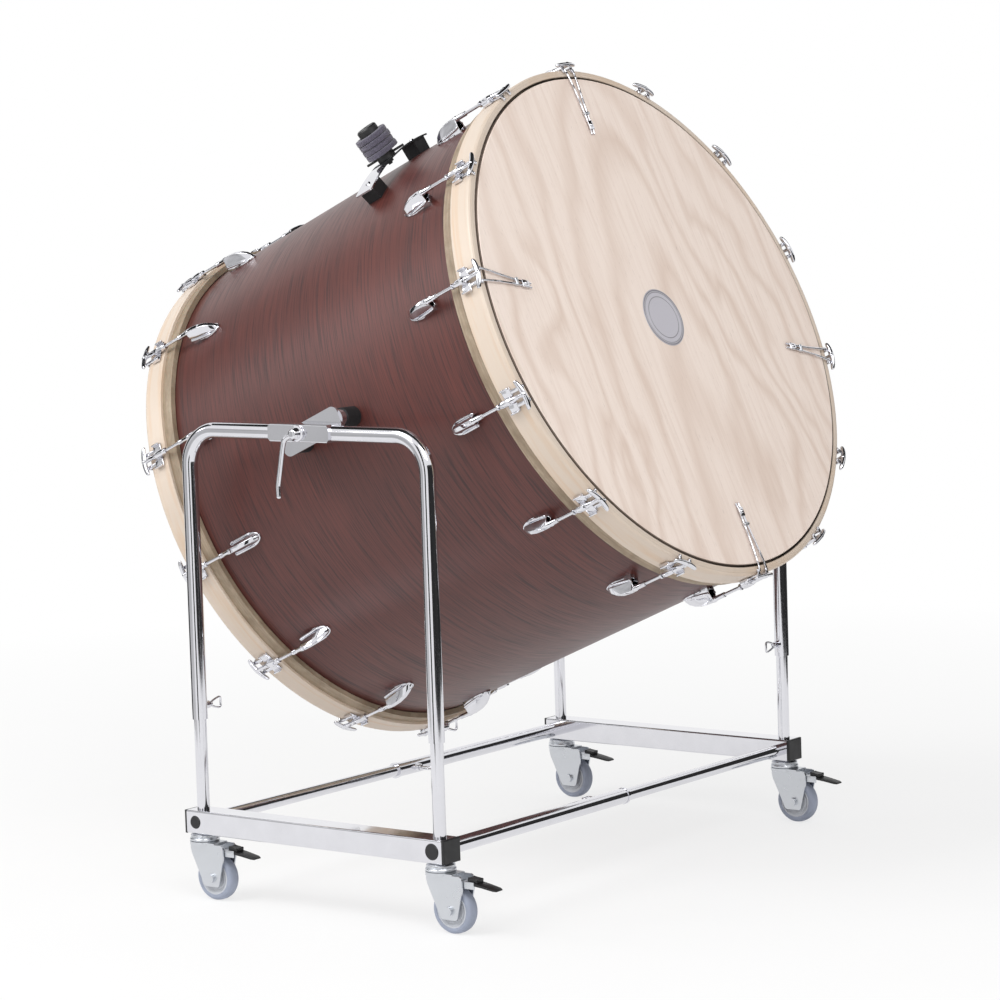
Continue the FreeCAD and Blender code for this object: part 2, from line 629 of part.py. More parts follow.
def pivot_sleeve(pivot_gap):
    """Folded sleeve around the yoke's top bar with cut front corners."""
    half_x = SLEEVE_LENGTH / 2
    half_z = SLEEVE_HEIGHT / 2
    front = -SLEEVE_FRONT
    back = -HALF_Y + SLEEVE_DEPTH / 2
    corner = SLEEVE_CORNER
    outline = Part.makePolygon([V(x, front, z + PIVOT_HEIGHT) for x, z in (
        (-half_x + corner, -half_z), (half_x - corner, -half_z), (half_x, -half_z + corner),
        (half_x, half_z - corner), (half_x - corner, half_z), (-half_x + corner, half_z),
        (-half_x, half_z - corner), (-half_x, -half_z + corner), (-half_x + corner, -half_z))])
    sleeve = prism(outline, AXIS_Y * (back - front))
    long_edges = [e for e in sleeve.Edges if e.BoundBox.XLength > SLEEVE_LENGTH / 2]
    sleeve = sleeve.makeFillet(2.5, long_edges)
    bar = rod(OUTER_TUBE_RADIUS, (-half_x - 1, -HALF_Y, PIVOT_HEIGHT), (half_x + 1, -HALF_Y, PIVOT_HEIGHT))
    return sleeve.cut(bar).cut(pivot_hole(pivot_gap))


def clamp_lever():
    """Hand lever that screws down on the pivot bolt."""
    start = -SLEEVE_FRONT - MOVING_GAP
    end = start - LEVER_HUB_LENGTH
    middle = start - LEVER_HUB_LENGTH * 0.6
    flange = start - 4
    points = [
        (0, start, 0), (LEVER_HUB_RADIUS + 4, start, 0), (LEVER_HUB_RADIUS + 4, flange, 0),
        (LEVER_HUB_RADIUS, flange - 1, 0), (LEVER_HUB_RADIUS, end + 3, 0), (LEVER_HUB_RADIUS - 3, end, 0),
        (0, end, 0),
    ]
    hub = revolved(points, AXIS_Y)
    knees = [
        (0, middle, 0), (-16, middle - 4, -9), (-LEVER_LEAN + 2, middle - 4, -LEVER_DROP + 18),
        (-LEVER_LEAN + 2, middle - 4, -LEVER_DROP),
    ]
    pieces = [hub]
    for a, b in zip(knees, knees[1:]):
        pieces.append(rod(LEVER_WIRE, a, b))
        pieces.append(Part.makeSphere(LEVER_WIRE, V(*b)))
    bore = rod(PIVOT_BOLT_RADIUS + PIN_FIT, (0, start + 1, 0), (0, end + 2.6, 0))
    return moved(fuse_all(pieces).cut(bore), z=PIVOT_HEIGHT)


def wing_screw(centre, direction):
    """Clamping screw with a bent-wire wing; it stops just short of the inner tube."""
    tip = INNER_TUBE_RADIUS + MOVING_GAP
    collar = OUTER_TUBE_RADIUS + WING_BOSS_LENGTH + MOVING_GAP
    loop = collar + 3
    far = loop + WING_LOOP_LENGTH
    half = WING_LOOP_HALF_WIDTH
    side = direction.cross(AXIS_Z)
    if side.Length < 0.5:
        side = AXIS_X

    def at(along, across):
        """Point along the screw and across it, in the plane of the wing."""
        return tuple(centre + direction * along + side * across)

    normal = direction.cross(side)

    def plate(points, radius, thickness):
        """Rounded flat plate in the plane of the wing, half its thickness each side."""
        return prism(rounded_outline(points, radius),
                     normal * thickness).translated(normal * (-thickness / 2))

    wing = plate([at(collar + 0.5, -4), at(far, -half - WING_WIRE), at(far, half + WING_WIRE),
                  at(collar + 0.5, 4)],
                 2.5, 2 * WING_WIRE)
    eye = plate([at(loop + 4, -2.4), at(far - 2 * WING_WIRE, WING_WIRE - half),
                 at(far - 2 * WING_WIRE, half - WING_WIRE), at(loop + 4, 2.4)], 1.5, 4 * WING_WIRE)
    shank = rod(WING_SCREW_RADIUS, at(tip, 0), at(loop - 0.5, 0))
    collar_disc = rod(WING_SCREW_RADIUS + 2, at(collar, 0), at(loop, 0))
    return fuse_all([shank, collar_disc, wing]).cut(eye)


# ---------------------------------------------------------------- stand: base half
def beam():
    """Rectangular tube with openings for two legs, two cross tubes and two caster studs."""
    outer = box((-BEAM_BODY, BEAM_BODY), (-HALF_Y - BEAM_WIDTH / 2, -HALF_Y + BEAM_WIDTH / 2),
                (BEAM_BOTTOM, BEAM_TOP))
    long_edges = [e for e in outer.Edges if e.BoundBox.XLength > BEAM_BODY]
    outer = outer.makeFillet(3, long_edges)
    half = BEAM_WIDTH / 2 - BEAM_WALL
    inner = box((-BEAM_BODY - 1, BEAM_BODY + 1), (-HALF_Y - half, -HALF_Y + half),
                (BEAM_BOTTOM + BEAM_WALL, BEAM_TOP - BEAM_WALL))
    tube = outer.cut(inner)
    for x, cross in ((-LEG_X, INNER_TUBE_RADIUS), (LEG_X, OUTER_TUBE_RADIUS)):
        tube = tube.cut(rod(INNER_TUBE_RADIUS, (x, -HALF_Y, BEAM_MIDDLE), (x, -HALF_Y, BEAM_TOP + 1)))
        tube = tube.cut(rod(KING_PIN_RADIUS, (x, -HALF_Y, BEAM_BOTTOM - 1), (x, -HALF_Y, BEAM_MIDDLE)))
        tube = tube.cut(rod(cross, (x, -HALF_Y - BEAM_WIDTH, BEAM_MIDDLE),
                            (x, -HALF_Y + BEAM_WIDTH, BEAM_MIDDLE)))
    return tube


def pipe(radius, bore, start, end):
    """Straight tube between two points."""
    return rod(radius, start, end).cut(rod(bore, start, end))


def beam_plastics():
    """Black end caps of the beam and round plugs in the cross tubes' ends."""
    outer_y = (-HALF_Y - BEAM_WIDTH / 2, -HALF_Y + BEAM_WIDTH / 2)
    half = BEAM_WIDTH / 2 - BEAM_WALL
    pieces = []
    for side in (-1, 1):
        plate = box(sorted((side * BEAM_BODY, side * BEAM_LENGTH / 2)), outer_y, (BEAM_BOTTOM, BEAM_TOP))
        plate = plate.makeFillet(2,
                                 [e for e in plate.Edges if abs(e.CenterOfMass.x) > BEAM_LENGTH / 2 - 0.01])
        spigot_x = sorted((side * (BEAM_BODY - CAP_SPIGOT), side * BEAM_BODY))
        spigot = box(spigot_x, (-HALF_Y - half, -HALF_Y + half),
                     (BEAM_BOTTOM + BEAM_WALL, BEAM_TOP - BEAM_WALL))
        wall = half - CAP_WALL
        hollow = box(spigot_x, (-HALF_Y - wall, -HALF_Y + wall),
                     (BEAM_BOTTOM + BEAM_WALL + CAP_WALL, BEAM_TOP - BEAM_WALL - CAP_WALL))
        pieces.append(plate.fuse(spigot.cut(hollow)))
    face = -HALF_Y - BEAM_WIDTH / 2
    for x, radius, bore in ((-LEG_X, INNER_TUBE_RADIUS, INNER_TUBE_RADIUS - INNER_TUBE_WALL),
                            (LEG_X, OUTER_TUBE_RADIUS, BORE_RADIUS)):
        flange = Part.makeCone(radius - 1, radius + 0.5, PLUG_FLANGE,
                               V(x, face - PLUG_FLANGE, BEAM_MIDDLE), AXIS_Y)
        spigot = rod(bore, (x, face, BEAM_MIDDLE), (x, face + PLUG_SPIGOT, BEAM_MIDDLE))
        pieces.append(flange.fuse(spigot))
    return group(pieces)


def inner_legs():
    """Fixed lower legs that the yoke slides on."""
    foot = BEAM_MIDDLE + OUTER_TUBE_RADIUS + 0.5
    bore = INNER_TUBE_RADIUS - INNER_TUBE_WALL
    return group([pipe(INNER_TUBE_RADIUS, bore, (x, -HALF_Y, foot), (x, -HALF_Y, INNER_LEG_TOP))
                  for x in (-LEG_X, LEG_X)])


def inner_cross_tube():
    """Cross tube that slides into the other half's outer cross tube."""
    start = -HALF_Y - BEAM_WIDTH / 2
    return pipe(INNER_TUBE_RADIUS, INNER_TUBE_RADIUS - INNER_TUBE_WALL,
                (-LEG_X, start, BEAM_MIDDLE), (-LEG_X, INNER_CROSS_REACH, BEAM_MIDDLE))


def cross_wing_place():
    """Centre on the outer cross tube and direction of its wing screw."""
    return V(LEG_X, -CROSS_WING_PLACE, BEAM_MIDDLE), V(-1, 0, 0)


def outer_cross_tube():
    """Cross tube that the other half's inner tube slides into, with a bead at its open end."""
    start = -HALF_Y - BEAM_WIDTH / 2
    centre, direction = cross_wing_place()
    tube = rod(OUTER_TUBE_RADIUS, (LEG_X, start, BEAM_MIDDLE), (LEG_X, 0, BEAM_MIDDLE))
    bead = rod(OUTER_TUBE_RADIUS + 1.2, (LEG_X, -5, BEAM_MIDDLE), (LEG_X, 0, BEAM_MIDDLE))
    tube = fuse_all([tube, bead, wing_boss(centre, direction)])
    tube = tube.cut(rod(BORE_RADIUS, (LEG_X, start - 1, BEAM_MIDDLE), (LEG_X, 1, BEAM_MIDDLE)))
    return tube.cut(wing_hole(centre, direction))


def caster_heads():
    """Fixed upper bearing races with their king pins, under the beam."""
    low = BEAM_BOTTOM - CASTER_HEAD_HEIGHT
    points = [
        (0, 0, BEAM_BOTTOM), (CASTER_HEAD_RADIUS - 6, 0, BEAM_BOTTOM),
        (CASTER_HEAD_RADIUS - 4, 0, BEAM_BOTTOM - 3), (CASTER_HEAD_RADIUS, 0, BEAM_BOTTOM - 6),
        (CASTER_HEAD_RADIUS, 0, low), (0, 0, low),
    ]
    race = revolved(points, AXIS_Z)
    pin_top = BEAM_BOTTOM + BEAM_WALL + 3
    pin_low = low - MOVING_GAP - FORK_CROWN - 3
    pin = rod(KING_PIN_RADIUS, (0, 0, pin_low), (0, 0, pin_top))
    rivet = rod(KING_PIN_RADIUS + 3, (0, 0, pin_low - 1), (0, 0, low - 2 * MOVING_GAP - FORK_CROWN))
    head = fuse_all([race, pin, rivet])
    return group([moved(head, x, -HALF_Y) for x in (-LEG_X, LEG_X)])


# ---------------------------------------------------------------- casters, made about the king pin
def caster_fork():
    """Swivel fork: round crown, two cranked plates, axle bolt and ears for the brake pedal."""
    crown_top = BEAM_BOTTOM - CASTER_HEAD_HEIGHT - MOVING_GAP
    crown_low = crown_top - FORK_CROWN
    inner = WHEEL_WIDTH / 2 + FORK_INNER_GAP
    outer = inner + FORK_PLATE
    crown = rod(CASTER_HEAD_RADIUS, (0, 0, crown_low), (0, 0, crown_top))
    bridge = box((0, CASTER_TRAIL + 8), (-outer, outer), (crown_low, crown_top - 1))
    pedal_z = BEAM_BOTTOM - PEDAL_PIVOT_DROP
    outline = rounded_outline(
        [(-20, 0, crown_low + 3), (-16, 0, crown_low - 14), (CASTER_TRAIL - 17, 0, WHEEL_RADIUS - 15),
         (CASTER_TRAIL + 16, 0, WHEEL_RADIUS - 15), (PEDAL_PIVOT_X + 9, 0, pedal_z - 9),
         (PEDAL_PIVOT_X + 9, 0, crown_low + 3)], 7)
    plate = moved(prism(outline, AXIS_Y * FORK_PLATE), y=inner)
    plates = [plate, plate.mirror(ORIGIN, AXIS_Y)]
    axle = rod(AXLE_RADIUS, (CASTER_TRAIL, -outer - 5, WHEEL_RADIUS),
               (CASTER_TRAIL, outer + 5, WHEEL_RADIUS))
    heads = []
    for side in (-1, 1):
        heads.append(rod(7.5, (CASTER_TRAIL, side * outer, WHEEL_RADIUS),
                         (CASTER_TRAIL, side * (outer + 5), WHEEL_RADIUS)))
    fork = fuse_all([crown, bridge] + plates + [axle] + heads)
    fork = fork.cut(rod(KING_PIN_RADIUS + PIN_FIT, (0, 0, crown_low - 1), (0, 0, crown_top + 1)))
    fork = fork.cut(rod(PEDAL_PIN_RADIUS + PIN_FIT, (PEDAL_PIVOT_X, -outer - 1, pedal_z),
                        (PEDAL_PIVOT_X, outer + 1, pedal_z)))
    return fork


def wheel_outline(points):
    """Revolve an outline of (radius, offset) pairs into a wheel part at the caster's axle."""
    solid = revolved([(radius, offset, 0) for radius, offset in points], AXIS_Y)
    return moved(solid, CASTER_TRAIL, 0, WHEEL_RADIUS)


def caster_tyre():
    """Rubber tread with rounded shoulders."""
    half = WHEEL_WIDTH / 2
    inner = WHEEL_RADIUS - TYRE_DEPTH
    return wheel_outline([
        (inner, -half + 1), (WHEEL_RADIUS - 5, -half), (WHEEL_RADIUS, -half + 5),
        (WHEEL_RADIUS, half - 5), (WHEEL_RADIUS - 5, half), (inner, half - 1)])


def caster_hub():
    """Moulded hub with a dished web and a boss that runs on the axle."""
    half = WHEEL_WIDTH / 2
    inner = WHEEL_RADIUS - TYRE_DEPTH
    bore = AXLE_RADIUS + PIN_FIT
    boss = half + FORK_INNER_GAP - MOVING_GAP
    return wheel_outline([
        (bore, -boss), (11, -boss), (11, -half + 5), (inner - 4, -half + 5), (inner - 3, -half + 1),
        (inner, -half + 1), (inner, half - 1), (inner - 3, half - 1), (inner - 4, half - 5),
        (11, half - 5), (11, boss), (bore, boss)])


def caster_pedal():
    """Brake pedal: a pressed tongue with a raised rocker, on a pin through the fork's ears."""
    pedal_z = BEAM_BOTTOM - PEDAL_PIVOT_DROP
    inner = WHEEL_WIDTH / 2 + FORK_INNER_GAP - MOVING_GAP
    outer = inner + MOVING_GAP + FORK_PLATE
    top = pedal_z + 6
    profile = rounded_outline(
        [(PEDAL_PIVOT_X - 5.5, -inner, pedal_z - 5.5), (PEDAL_PIVOT_X + 10, -inner, pedal_z - 5.5),
         (PEDAL_REACH, -inner, top - PEDAL_THICKNESS - 4), (PEDAL_REACH, -inner, top - 2),
         (PEDAL_PIVOT_X + 24, -inner, top + 3), (PEDAL_PIVOT_X - 5.5, -inner, top)], 1.8)
    tongue = prism(profile, AXIS_Y * (2 * inner))
    rocker = rounded_outline(
        [(PEDAL_PIVOT_X + 20, -inner * 0.8, top), (PEDAL_PIVOT_X + 40, -inner * 0.8, top - 3),
         (PEDAL_PIVOT_X + 42, -inner * 0.8, top + 7), (PEDAL_PIVOT_X + 24, -inner * 0.8, top + 8)], 1.5)
    pin = rod(PEDAL_PIN_RADIUS, (PEDAL_PIVOT_X, -outer, pedal_z), (PEDAL_PIVOT_X, outer, pedal_z))
    return fuse_all([tongue, prism(rocker, AXIS_Y * (1.6 * inner)), pin])


# ---------------------------------------------------------------- build everything
def build_drum():
    """All nodes that tilt with the drum."""
    head = skin_head()
    hoop = counter_hoop()
    plate = pivot_plate()
    nodes = {
        "drum_shell": shell(),
        "front_skin_head": head,
        "back_skin_head": head.mirror(ORIGIN, AXIS_X),
        "flesh_hoops": group(both_ends([flesh_hoop()])),
        "front_counter_hoop": hoop,
        "back_counter_hoop": hoop.mirror(ORIGIN, AXIS_X),
        "wooden_head": wooden_head(),
        "tension_lugs": group(both_ends(around(lug()))),
        "tension_nuts": group(both_ends(around(tension_nut()))),
        "hoop_claws": group(both_ends(around(claw()))),
        "t_handle_rods": group(both_ends(around(tension_rod()))),
        "hold_down_clips": group(around(hold_down_clip(), CLIP_STATIONS)),
        "cymbal_strap": cymbal_strap(),
        "strap_blocks": strap_blocks(),
        "cymbal_post": cymbal_post(),
        "cymbal_felts": cymbal_felts(),
        "cymbal_nut": cymbal_nut(),
        "near_pivot_plate": plate,
        "far_pivot_plate": turned(plate, 180),
        "pivot_buffers": pivot_buffers(),
    }
    for name, shape in nodes.items():
        export(name, hang(shape))


def build_stand():
    """Both halves of the stand; the far half is the near half turned about Z."""
    half = {
        "beam": beam(),
        "beam_plastics": beam_plastics(),
        "inner_legs": inner_legs(),
        "inner_cross_tube": inner_cross_tube(),
        "outer_cross_tube": outer_cross_tube(),
        "caster_heads": caster_heads(),
        "clamp_lever": clamp_lever(),
        "cross_wing_screw": wing_screw(*cross_wing_place()),
    }
    sides = (("near", 0, PIN_FIT, ("left", "right")), ("far", 180, OPEN_PIVOT_GAP, ("right", "left")))
    for side, angle, gap, labels in sides:
        for name, shape in half.items():
            export(side + "_" + name, turned(shape, angle, AXIS_Z))
        for label, place in zip(labels, yoke_wing_places()):
            export(side + "_" + label + "_wing_screw", turned(wing_screw(*place), angle, AXIS_Z))
        export(side + "_yoke", turned(yoke(gap), angle, AXIS_Z))
        export(side + "_pivot_sleeve", turned(pivot_sleeve(gap), angle, AXIS_Z))


def build_casters():
    """Four casters, all trailing towards +X."""
    caster = {"fork": caster_fork(), "tyre": caster_tyre(), "hub": caster_hub(), "pedal": caster_pedal()}
    places = {
        "near_left": (-LEG_X, -HALF_Y), "near_right": (LEG_X, -HALF_Y),
        "far_left": (-LEG_X, HALF_Y), "far_right": (LEG_X, HALF_Y),
    }
    for place, (x, y) in places.items():
        for name, shape in caster.items():
            export(place + "_caster_" + name, moved(shape, x, y))


build_drum()
build_stand()
build_casters()
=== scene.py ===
"""Concert bass drum on a tilting stand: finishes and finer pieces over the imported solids.

Pieces are modelled in millimetres in the drum's own axes (X along the drum, angle 0 at +Y),
or about their own origin, and are then placed into the frame by one matrix.
"""
import json
import math

import bpy
from mathutils import Matrix, Vector


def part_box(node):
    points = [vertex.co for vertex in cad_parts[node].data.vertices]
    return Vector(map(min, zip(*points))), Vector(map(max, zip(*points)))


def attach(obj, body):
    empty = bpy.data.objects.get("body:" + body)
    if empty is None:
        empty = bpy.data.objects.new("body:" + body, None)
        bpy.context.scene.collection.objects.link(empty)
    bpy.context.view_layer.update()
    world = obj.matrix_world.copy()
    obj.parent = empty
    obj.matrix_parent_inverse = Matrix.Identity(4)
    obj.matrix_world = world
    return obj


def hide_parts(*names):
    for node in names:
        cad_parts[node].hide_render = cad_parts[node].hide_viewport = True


bl_info = {
    "name": "Concert Bass Drum",
    "version": (1, 0, 0),
    "blender": (4, 5, 0),
    "location": "View3D > Sidebar > Bass Drum",
    "description": "Models the fittings and finishes of a concert bass drum on its stand",
    "category": "Object",
}

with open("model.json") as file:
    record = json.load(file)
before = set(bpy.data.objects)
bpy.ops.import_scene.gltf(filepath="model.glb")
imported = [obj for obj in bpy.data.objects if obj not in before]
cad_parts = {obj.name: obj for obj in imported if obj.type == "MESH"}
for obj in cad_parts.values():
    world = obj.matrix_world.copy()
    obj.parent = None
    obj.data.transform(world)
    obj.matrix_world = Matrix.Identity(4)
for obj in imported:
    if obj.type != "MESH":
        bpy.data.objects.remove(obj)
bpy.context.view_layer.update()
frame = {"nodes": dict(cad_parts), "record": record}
BODY = {n: body for body, names in frame["record"]["behaviour"]["bodies"].items() for n in names}

SIDES = ("near", "far")
CORNERS = ("near_left", "near_right", "far_left", "far_right")
STATIONS = 14
CLIP_STATIONS = (0, 3, 7, 10)
STRAP_STATION = 1
HEAD_PROUD = 1.5            # the wooden head stands a little proud of its hoop
HEAD_GAP = 4.0              # between the wooden head's rim and its hoop
FELT_SHIFTS = (0.5, -0.6, 0.4, -0.3)    # how far each cymbal felt lies off the post, lowest first
RACE_RADIUS = 26.0          # of a caster's bearing race
PEDAL_PIN_END = 4.2         # how far a brake pedal's pin stands out on each side
UNIT = {"X": Vector((1, 0, 0)), "Y": Vector((0, 1, 0)), "Z": Vector((0, 0, 1))}
MILLI = Matrix.Scale(0.001, 4)


# ---------------------------------------------------------------- places read from the frame
def middle(node):
    """Middle of a node's box, in metres."""
    low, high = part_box(node)
    return (low + high) / 2


PIVOT = Vector((0, 0, middle("near_pivot_sleeve").z))
HEAD_OFFSET = middle("wooden_head") - PIVOT
TILT = math.atan2(HEAD_OFFSET.z, HEAD_OFFSET.x)
DRUM = Matrix.Translation(PIVOT) @ Matrix.Rotation(-TILT, 4, "Y")


def reach(node):
    """Nearest and furthest along the drum, and least and greatest radius, in millimetres."""
    inverse = DRUM.inverted()
    points = [(inverse @ v.co) * 1000 for v in frame["nodes"][node].data.vertices]
    axial = [abs(p.x) for p in points]
    radial = [math.hypot(p.y, p.z) for p in points]
    return min(axial), max(axial), min(radial), max(radial)


SHELL_RADIUS = reach("drum_shell")[3]
LUG_BACK, LUG_MOUTH = reach("tension_lugs")[:2]
ROD_AXIS = sum(reach("tension_nuts")[2:]) / 2
HOOP_BACK, HOOP_FRONT, HOOP_INNER, HOOP_OUTER = reach("front_counter_hoop")
HANDLE_FRONT = reach("t_handle_rods")[1]
CLIP_TIP = reach("hold_down_clips")[2]
HEAD_BACK = reach("wooden_head")[0]
HEAD_FACE = HOOP_FRONT + HEAD_PROUD
HEAD_RIM = HOOP_INNER - HEAD_GAP


# ---------------------------------------------------------------- settings a user would change
def linear(red, green, blue):
    """Colour written as 0 to 255 steps, as linear numbers."""
    steps = [value / 255 for value in (red, green, blue)]
    return tuple(s / 12.92 if s <= 0.04045 else ((s + 0.055) / 1.055) ** 2.4 for s in steps)


def size(name, default, description):
    """Length in metres, given in millimetres."""
    return bpy.props.FloatProperty(
        name=name, description=description, default=default / 1000, min=0, unit="LENGTH", precision=4)


def tint(name, default, description):
    """Colour of a finish."""
    return bpy.props.FloatVectorProperty(
        name=name, description=description, default=linear(*default), min=0, max=1, size=3,
        subtype="COLOR")


def power(name, default, description):
    """Power of a lamp, in watts."""
    return bpy.props.FloatProperty(
        name=name, description=description, default=default, min=0, unit="POWER")


class BassDrumSizes(bpy.types.PropertyGroup):
    """Sizes of the fittings"""
    rod_sleeve: size("Rod sleeve radius", 4.4, "Radius of the thick half of a tension rod")
    rod: size("Rod radius", 3.0, "Radius of the threaded half of a tension rod")
    barrel: size("Claw barrel radius", 6.6, "Radius across the corners of a claw's barrel")
    ear: size("Claw ear", 22.0, "Half width of a claw over its ears")
    handle: size("Handle span", 48.0, "Span of a T handle")
    clip_wire: size("Clip wire radius", 2.0, "Radius of the hold-down clips' wires")
    badge: size("Badge radius", 53.0, "Radius of the blank badge on the wooden head")
    wing_wire: size("Wing wire radius", 2.0, "Radius of the wing screws' bent wire")
    lever_wire: size("Lever radius", 4.6, "Radius of the clamp levers' handle")
    wheel: size("Wheel radius", 40.0, "Radius of a caster's wheel")
    tyre_depth: size("Tyre depth", 10.0, "Depth of a caster's rubber tyre")


class BassDrumColours(bpy.types.PropertyGroup):
    """Colours of the finishes"""
    mahogany: tint("Mahogany", (102, 51, 44), "Lit grain of the stained shell")
    mahogany_pore: tint("Mahogany pores", (44, 27, 29), "Dark grain of the stained shell")
    maple: tint("Maple", (218, 202, 186), "Counter hoops")
    maple_grain: tint("Maple grain", (216, 191, 166), "Figure of the counter hoops")
    plywood: tint("Plywood", (248, 232, 221), "Face of the wooden head")
    plywood_grain: tint("Plywood grain", (220, 196, 180), "Figure of the wooden head")
    skin: tint("Skin", (178, 160, 138), "Light parts of the natural heads")
    skin_vein: tint("Skin veins", (136, 118, 97), "Dark parts of the natural heads")
    felt: tint("Felt", (98, 94, 110), "Cymbal felts")
    rubber: tint("Tyre", (152, 159, 176), "Caster tyres")
    nylon: tint("Hub", (196, 199, 205), "Caster hubs")
    chrome: tint("Chrome", (226, 226, 231), "Plated steel")
    zinc: tint("Zinc", (214, 217, 222), "Galvanised caster forks")
    black: tint("Black", (26, 26, 28), "Plastic and rubber trim")
    badge: tint("Badge", (200, 197, 205), "Blank metal badge")


class BassDrumStage(bpy.types.PropertyGroup):
    """Light and floor"""
    key: power("Key light", 132.0, "Power of the large lamp above the near side")
    side: power("Side light", 32.0, "Power of the lamp beside the back head")
    fill: power("Fill light", 58.0, "Power of the lamp before the wooden head")
    ambient: bpy.props.FloatProperty(name="Ambient", description="Light from all around", default=0.55, min=0)


class BassDrumSettings(bpy.types.PropertyGroup):
    """All settings of the drum"""
    sizes: bpy.props.PointerProperty(type=BassDrumSizes)
    colours: bpy.props.PointerProperty(type=BassDrumColours)
    stage: bpy.props.PointerProperty(type=BassDrumStage)


# ---------------------------------------------------------------- modelling helpers
def fresh(name, kind, **options):
    """Add a mesh primitive alone, with nothing else selected."""
    bpy.ops.object.select_all(action="DESELECT")
    getattr(bpy.ops.mesh, "primitive_" + kind + "_add")(**options)
    made = bpy.context.object
    made.name = name
    bpy.ops.object.transform_apply(location=True, rotation=True, scale=True)
    return made


def only(obj):
    """Make an object the one that operators act on."""
    bpy.ops.object.select_all(action="DESELECT")
    obj.select_set(True)
    bpy.context.view_layer.objects.active = obj


def shape(obj, matrix):
    """Move, turn or stretch a mesh inside its object."""
    obj.data.transform(matrix)
    if matrix.determinant() < 0:
        obj.data.flip_normals()
    return obj


def choose(obj, test, kind="FACE"):
    """Enter edit mode with the faces or vertices selected whose place and normal pass a test."""
    only(obj)
    bpy.ops.object.mode_set(mode="EDIT")
    bpy.ops.mesh.select_mode(type=kind)
    bpy.ops.mesh.select_all(action="DESELECT")
    bpy.ops.object.mode_set(mode="OBJECT")
    if kind == "FACE":
        for face in obj.data.polygons:
            face.select = test(face.center, face.normal)
    else:
        for vertex in obj.data.vertices:
            vertex.select = test(vertex.co, vertex.normal)
    bpy.ops.object.mode_set(mode="EDIT")


def close_up():
    """Merge doubles, turn the faces outwards and leave edit mode."""
    bpy.ops.mesh.select_all(action="SELECT")
    bpy.ops.mesh.remove_doubles(threshold=0.001)
    bpy.ops.mesh.normals_make_consistent(inside=False)
    bpy.ops.object.mode_set(mode="OBJECT")


def modify(obj, kind, **settings):
    """Add a modifier and apply it."""
    only(obj)
    bpy.ops.object.modifier_add(type=kind)
    modifier = obj.modifiers[-1]
    for key, value in settings.items():
        setattr(modifier, key, value)
    bpy.ops.object.modifier_apply(modifier=modifier.name)
    return obj


def rounded(obj, width, segments=2, angle=30):
    """Round the sharp edges of a mesh."""
    return modify(obj, "BEVEL", width=width, segments=segments, limit_method="ANGLE",
                  angle_limit=math.radians(angle))


def smooth(obj, angle=35):
    """Shade smooth across gentle edges."""
    only(obj)
    bpy.ops.object.shade_smooth_by_angle(angle=math.radians(angle))
    return obj


def joined(objects, name):
    """One object from several."""
    bpy.ops.object.select_all(action="DESELECT")
    for obj in objects:
        obj.select_set(True)
    bpy.context.view_layer.objects.active = objects[0]
    if len(objects) > 1:
        bpy.ops.object.join()
    made = bpy.context.object
    made.name = name
    return made


def twin(obj, matrix, name):
    """Copy of a piece with its own mesh, placed by a matrix."""
    only(obj)
    bpy.ops.object.duplicate()
    made = bpy.context.object
    made.name = name
    return shape(made, matrix)


def drop(obj):
    """Remove a pattern piece once its copies are made."""
    bpy.data.objects.remove(obj, do_unlink=True)


def repeated(obj, places, name):
    """Copies of a piece at several places, joined."""
    made = joined([twin(obj, place, name) for place in places], name)
    drop(obj)
    return made


def lathe(name, points, axis="X", steps=32):
    """Spin an outline about an axis; a point is (along, radius)."""
    across = UNIT["X"] if axis != "X" else UNIT["Y"]
    outline = [UNIT[axis] * along + across * radius for along, radius in points]
    obj = fresh(name, "plane", size=1)
    bpy.ops.object.mode_set(mode="EDIT")
    bpy.ops.mesh.select_mode(type="VERT")
    bpy.ops.mesh.select_all(action="SELECT")
    bpy.ops.mesh.merge(type="CENTER")
    bpy.ops.transform.translate(value=outline[0])
    for before, after in zip(outline, outline[1:]):
        bpy.ops.mesh.extrude_region_move(TRANSFORM_OT_translate={"value": after - before})
    bpy.ops.mesh.select_all(action="SELECT")
    bpy.ops.mesh.spin(steps=steps, angle=math.tau, center=(0, 0, 0), axis=UNIT[axis])
    close_up()
    return obj


def mirrored(half):
    """Outline that runs through one half, then back through its mirror image."""
    return [(-along, radius) for along, radius in half] + list(reversed(half))


def loft(name, rings, axis="X", sides=16, turn=0.0):
    """Skin a row of ellipses that stand across an axis; a ring is (centre, half size, half size)."""
    stand = {"X": Matrix.Rotation(math.pi / 2, 4, "Y"), "Y": Matrix.Rotation(math.pi / 2, 4, "X"),
             "Z": Matrix.Identity(4)}[axis]

    def across(first, second):
        """Scale in the two directions across the axis."""
        return {"X": (1, first, second), "Y": (first, 1, second), "Z": (first, second, 1)}[axis]

    obj = fresh(name, "circle", vertices=sides, radius=1, fill_type="NGON")
    shape(obj, stand @ Matrix.Rotation(turn, 4, "Z"))
    bpy.ops.object.mode_set(mode="EDIT")
    bpy.ops.mesh.select_all(action="SELECT")
    centre, wide, high = Vector(rings[0][0]), rings[0][1], rings[0][2]
    bpy.ops.transform.resize(value=across(wide, high), center_override=(0, 0, 0))
    bpy.ops.transform.translate(value=centre)
    for place, next_wide, next_high in rings[1:]:
        place = Vector(place)
        bpy.ops.mesh.extrude_region_move(TRANSFORM_OT_translate={"value": place - centre})
        bpy.ops.transform.resize(value=across(next_wide / wide, next_high / high), center_override=place)
        centre, wide, high = place, next_wide, next_high
    close_up()
    return obj


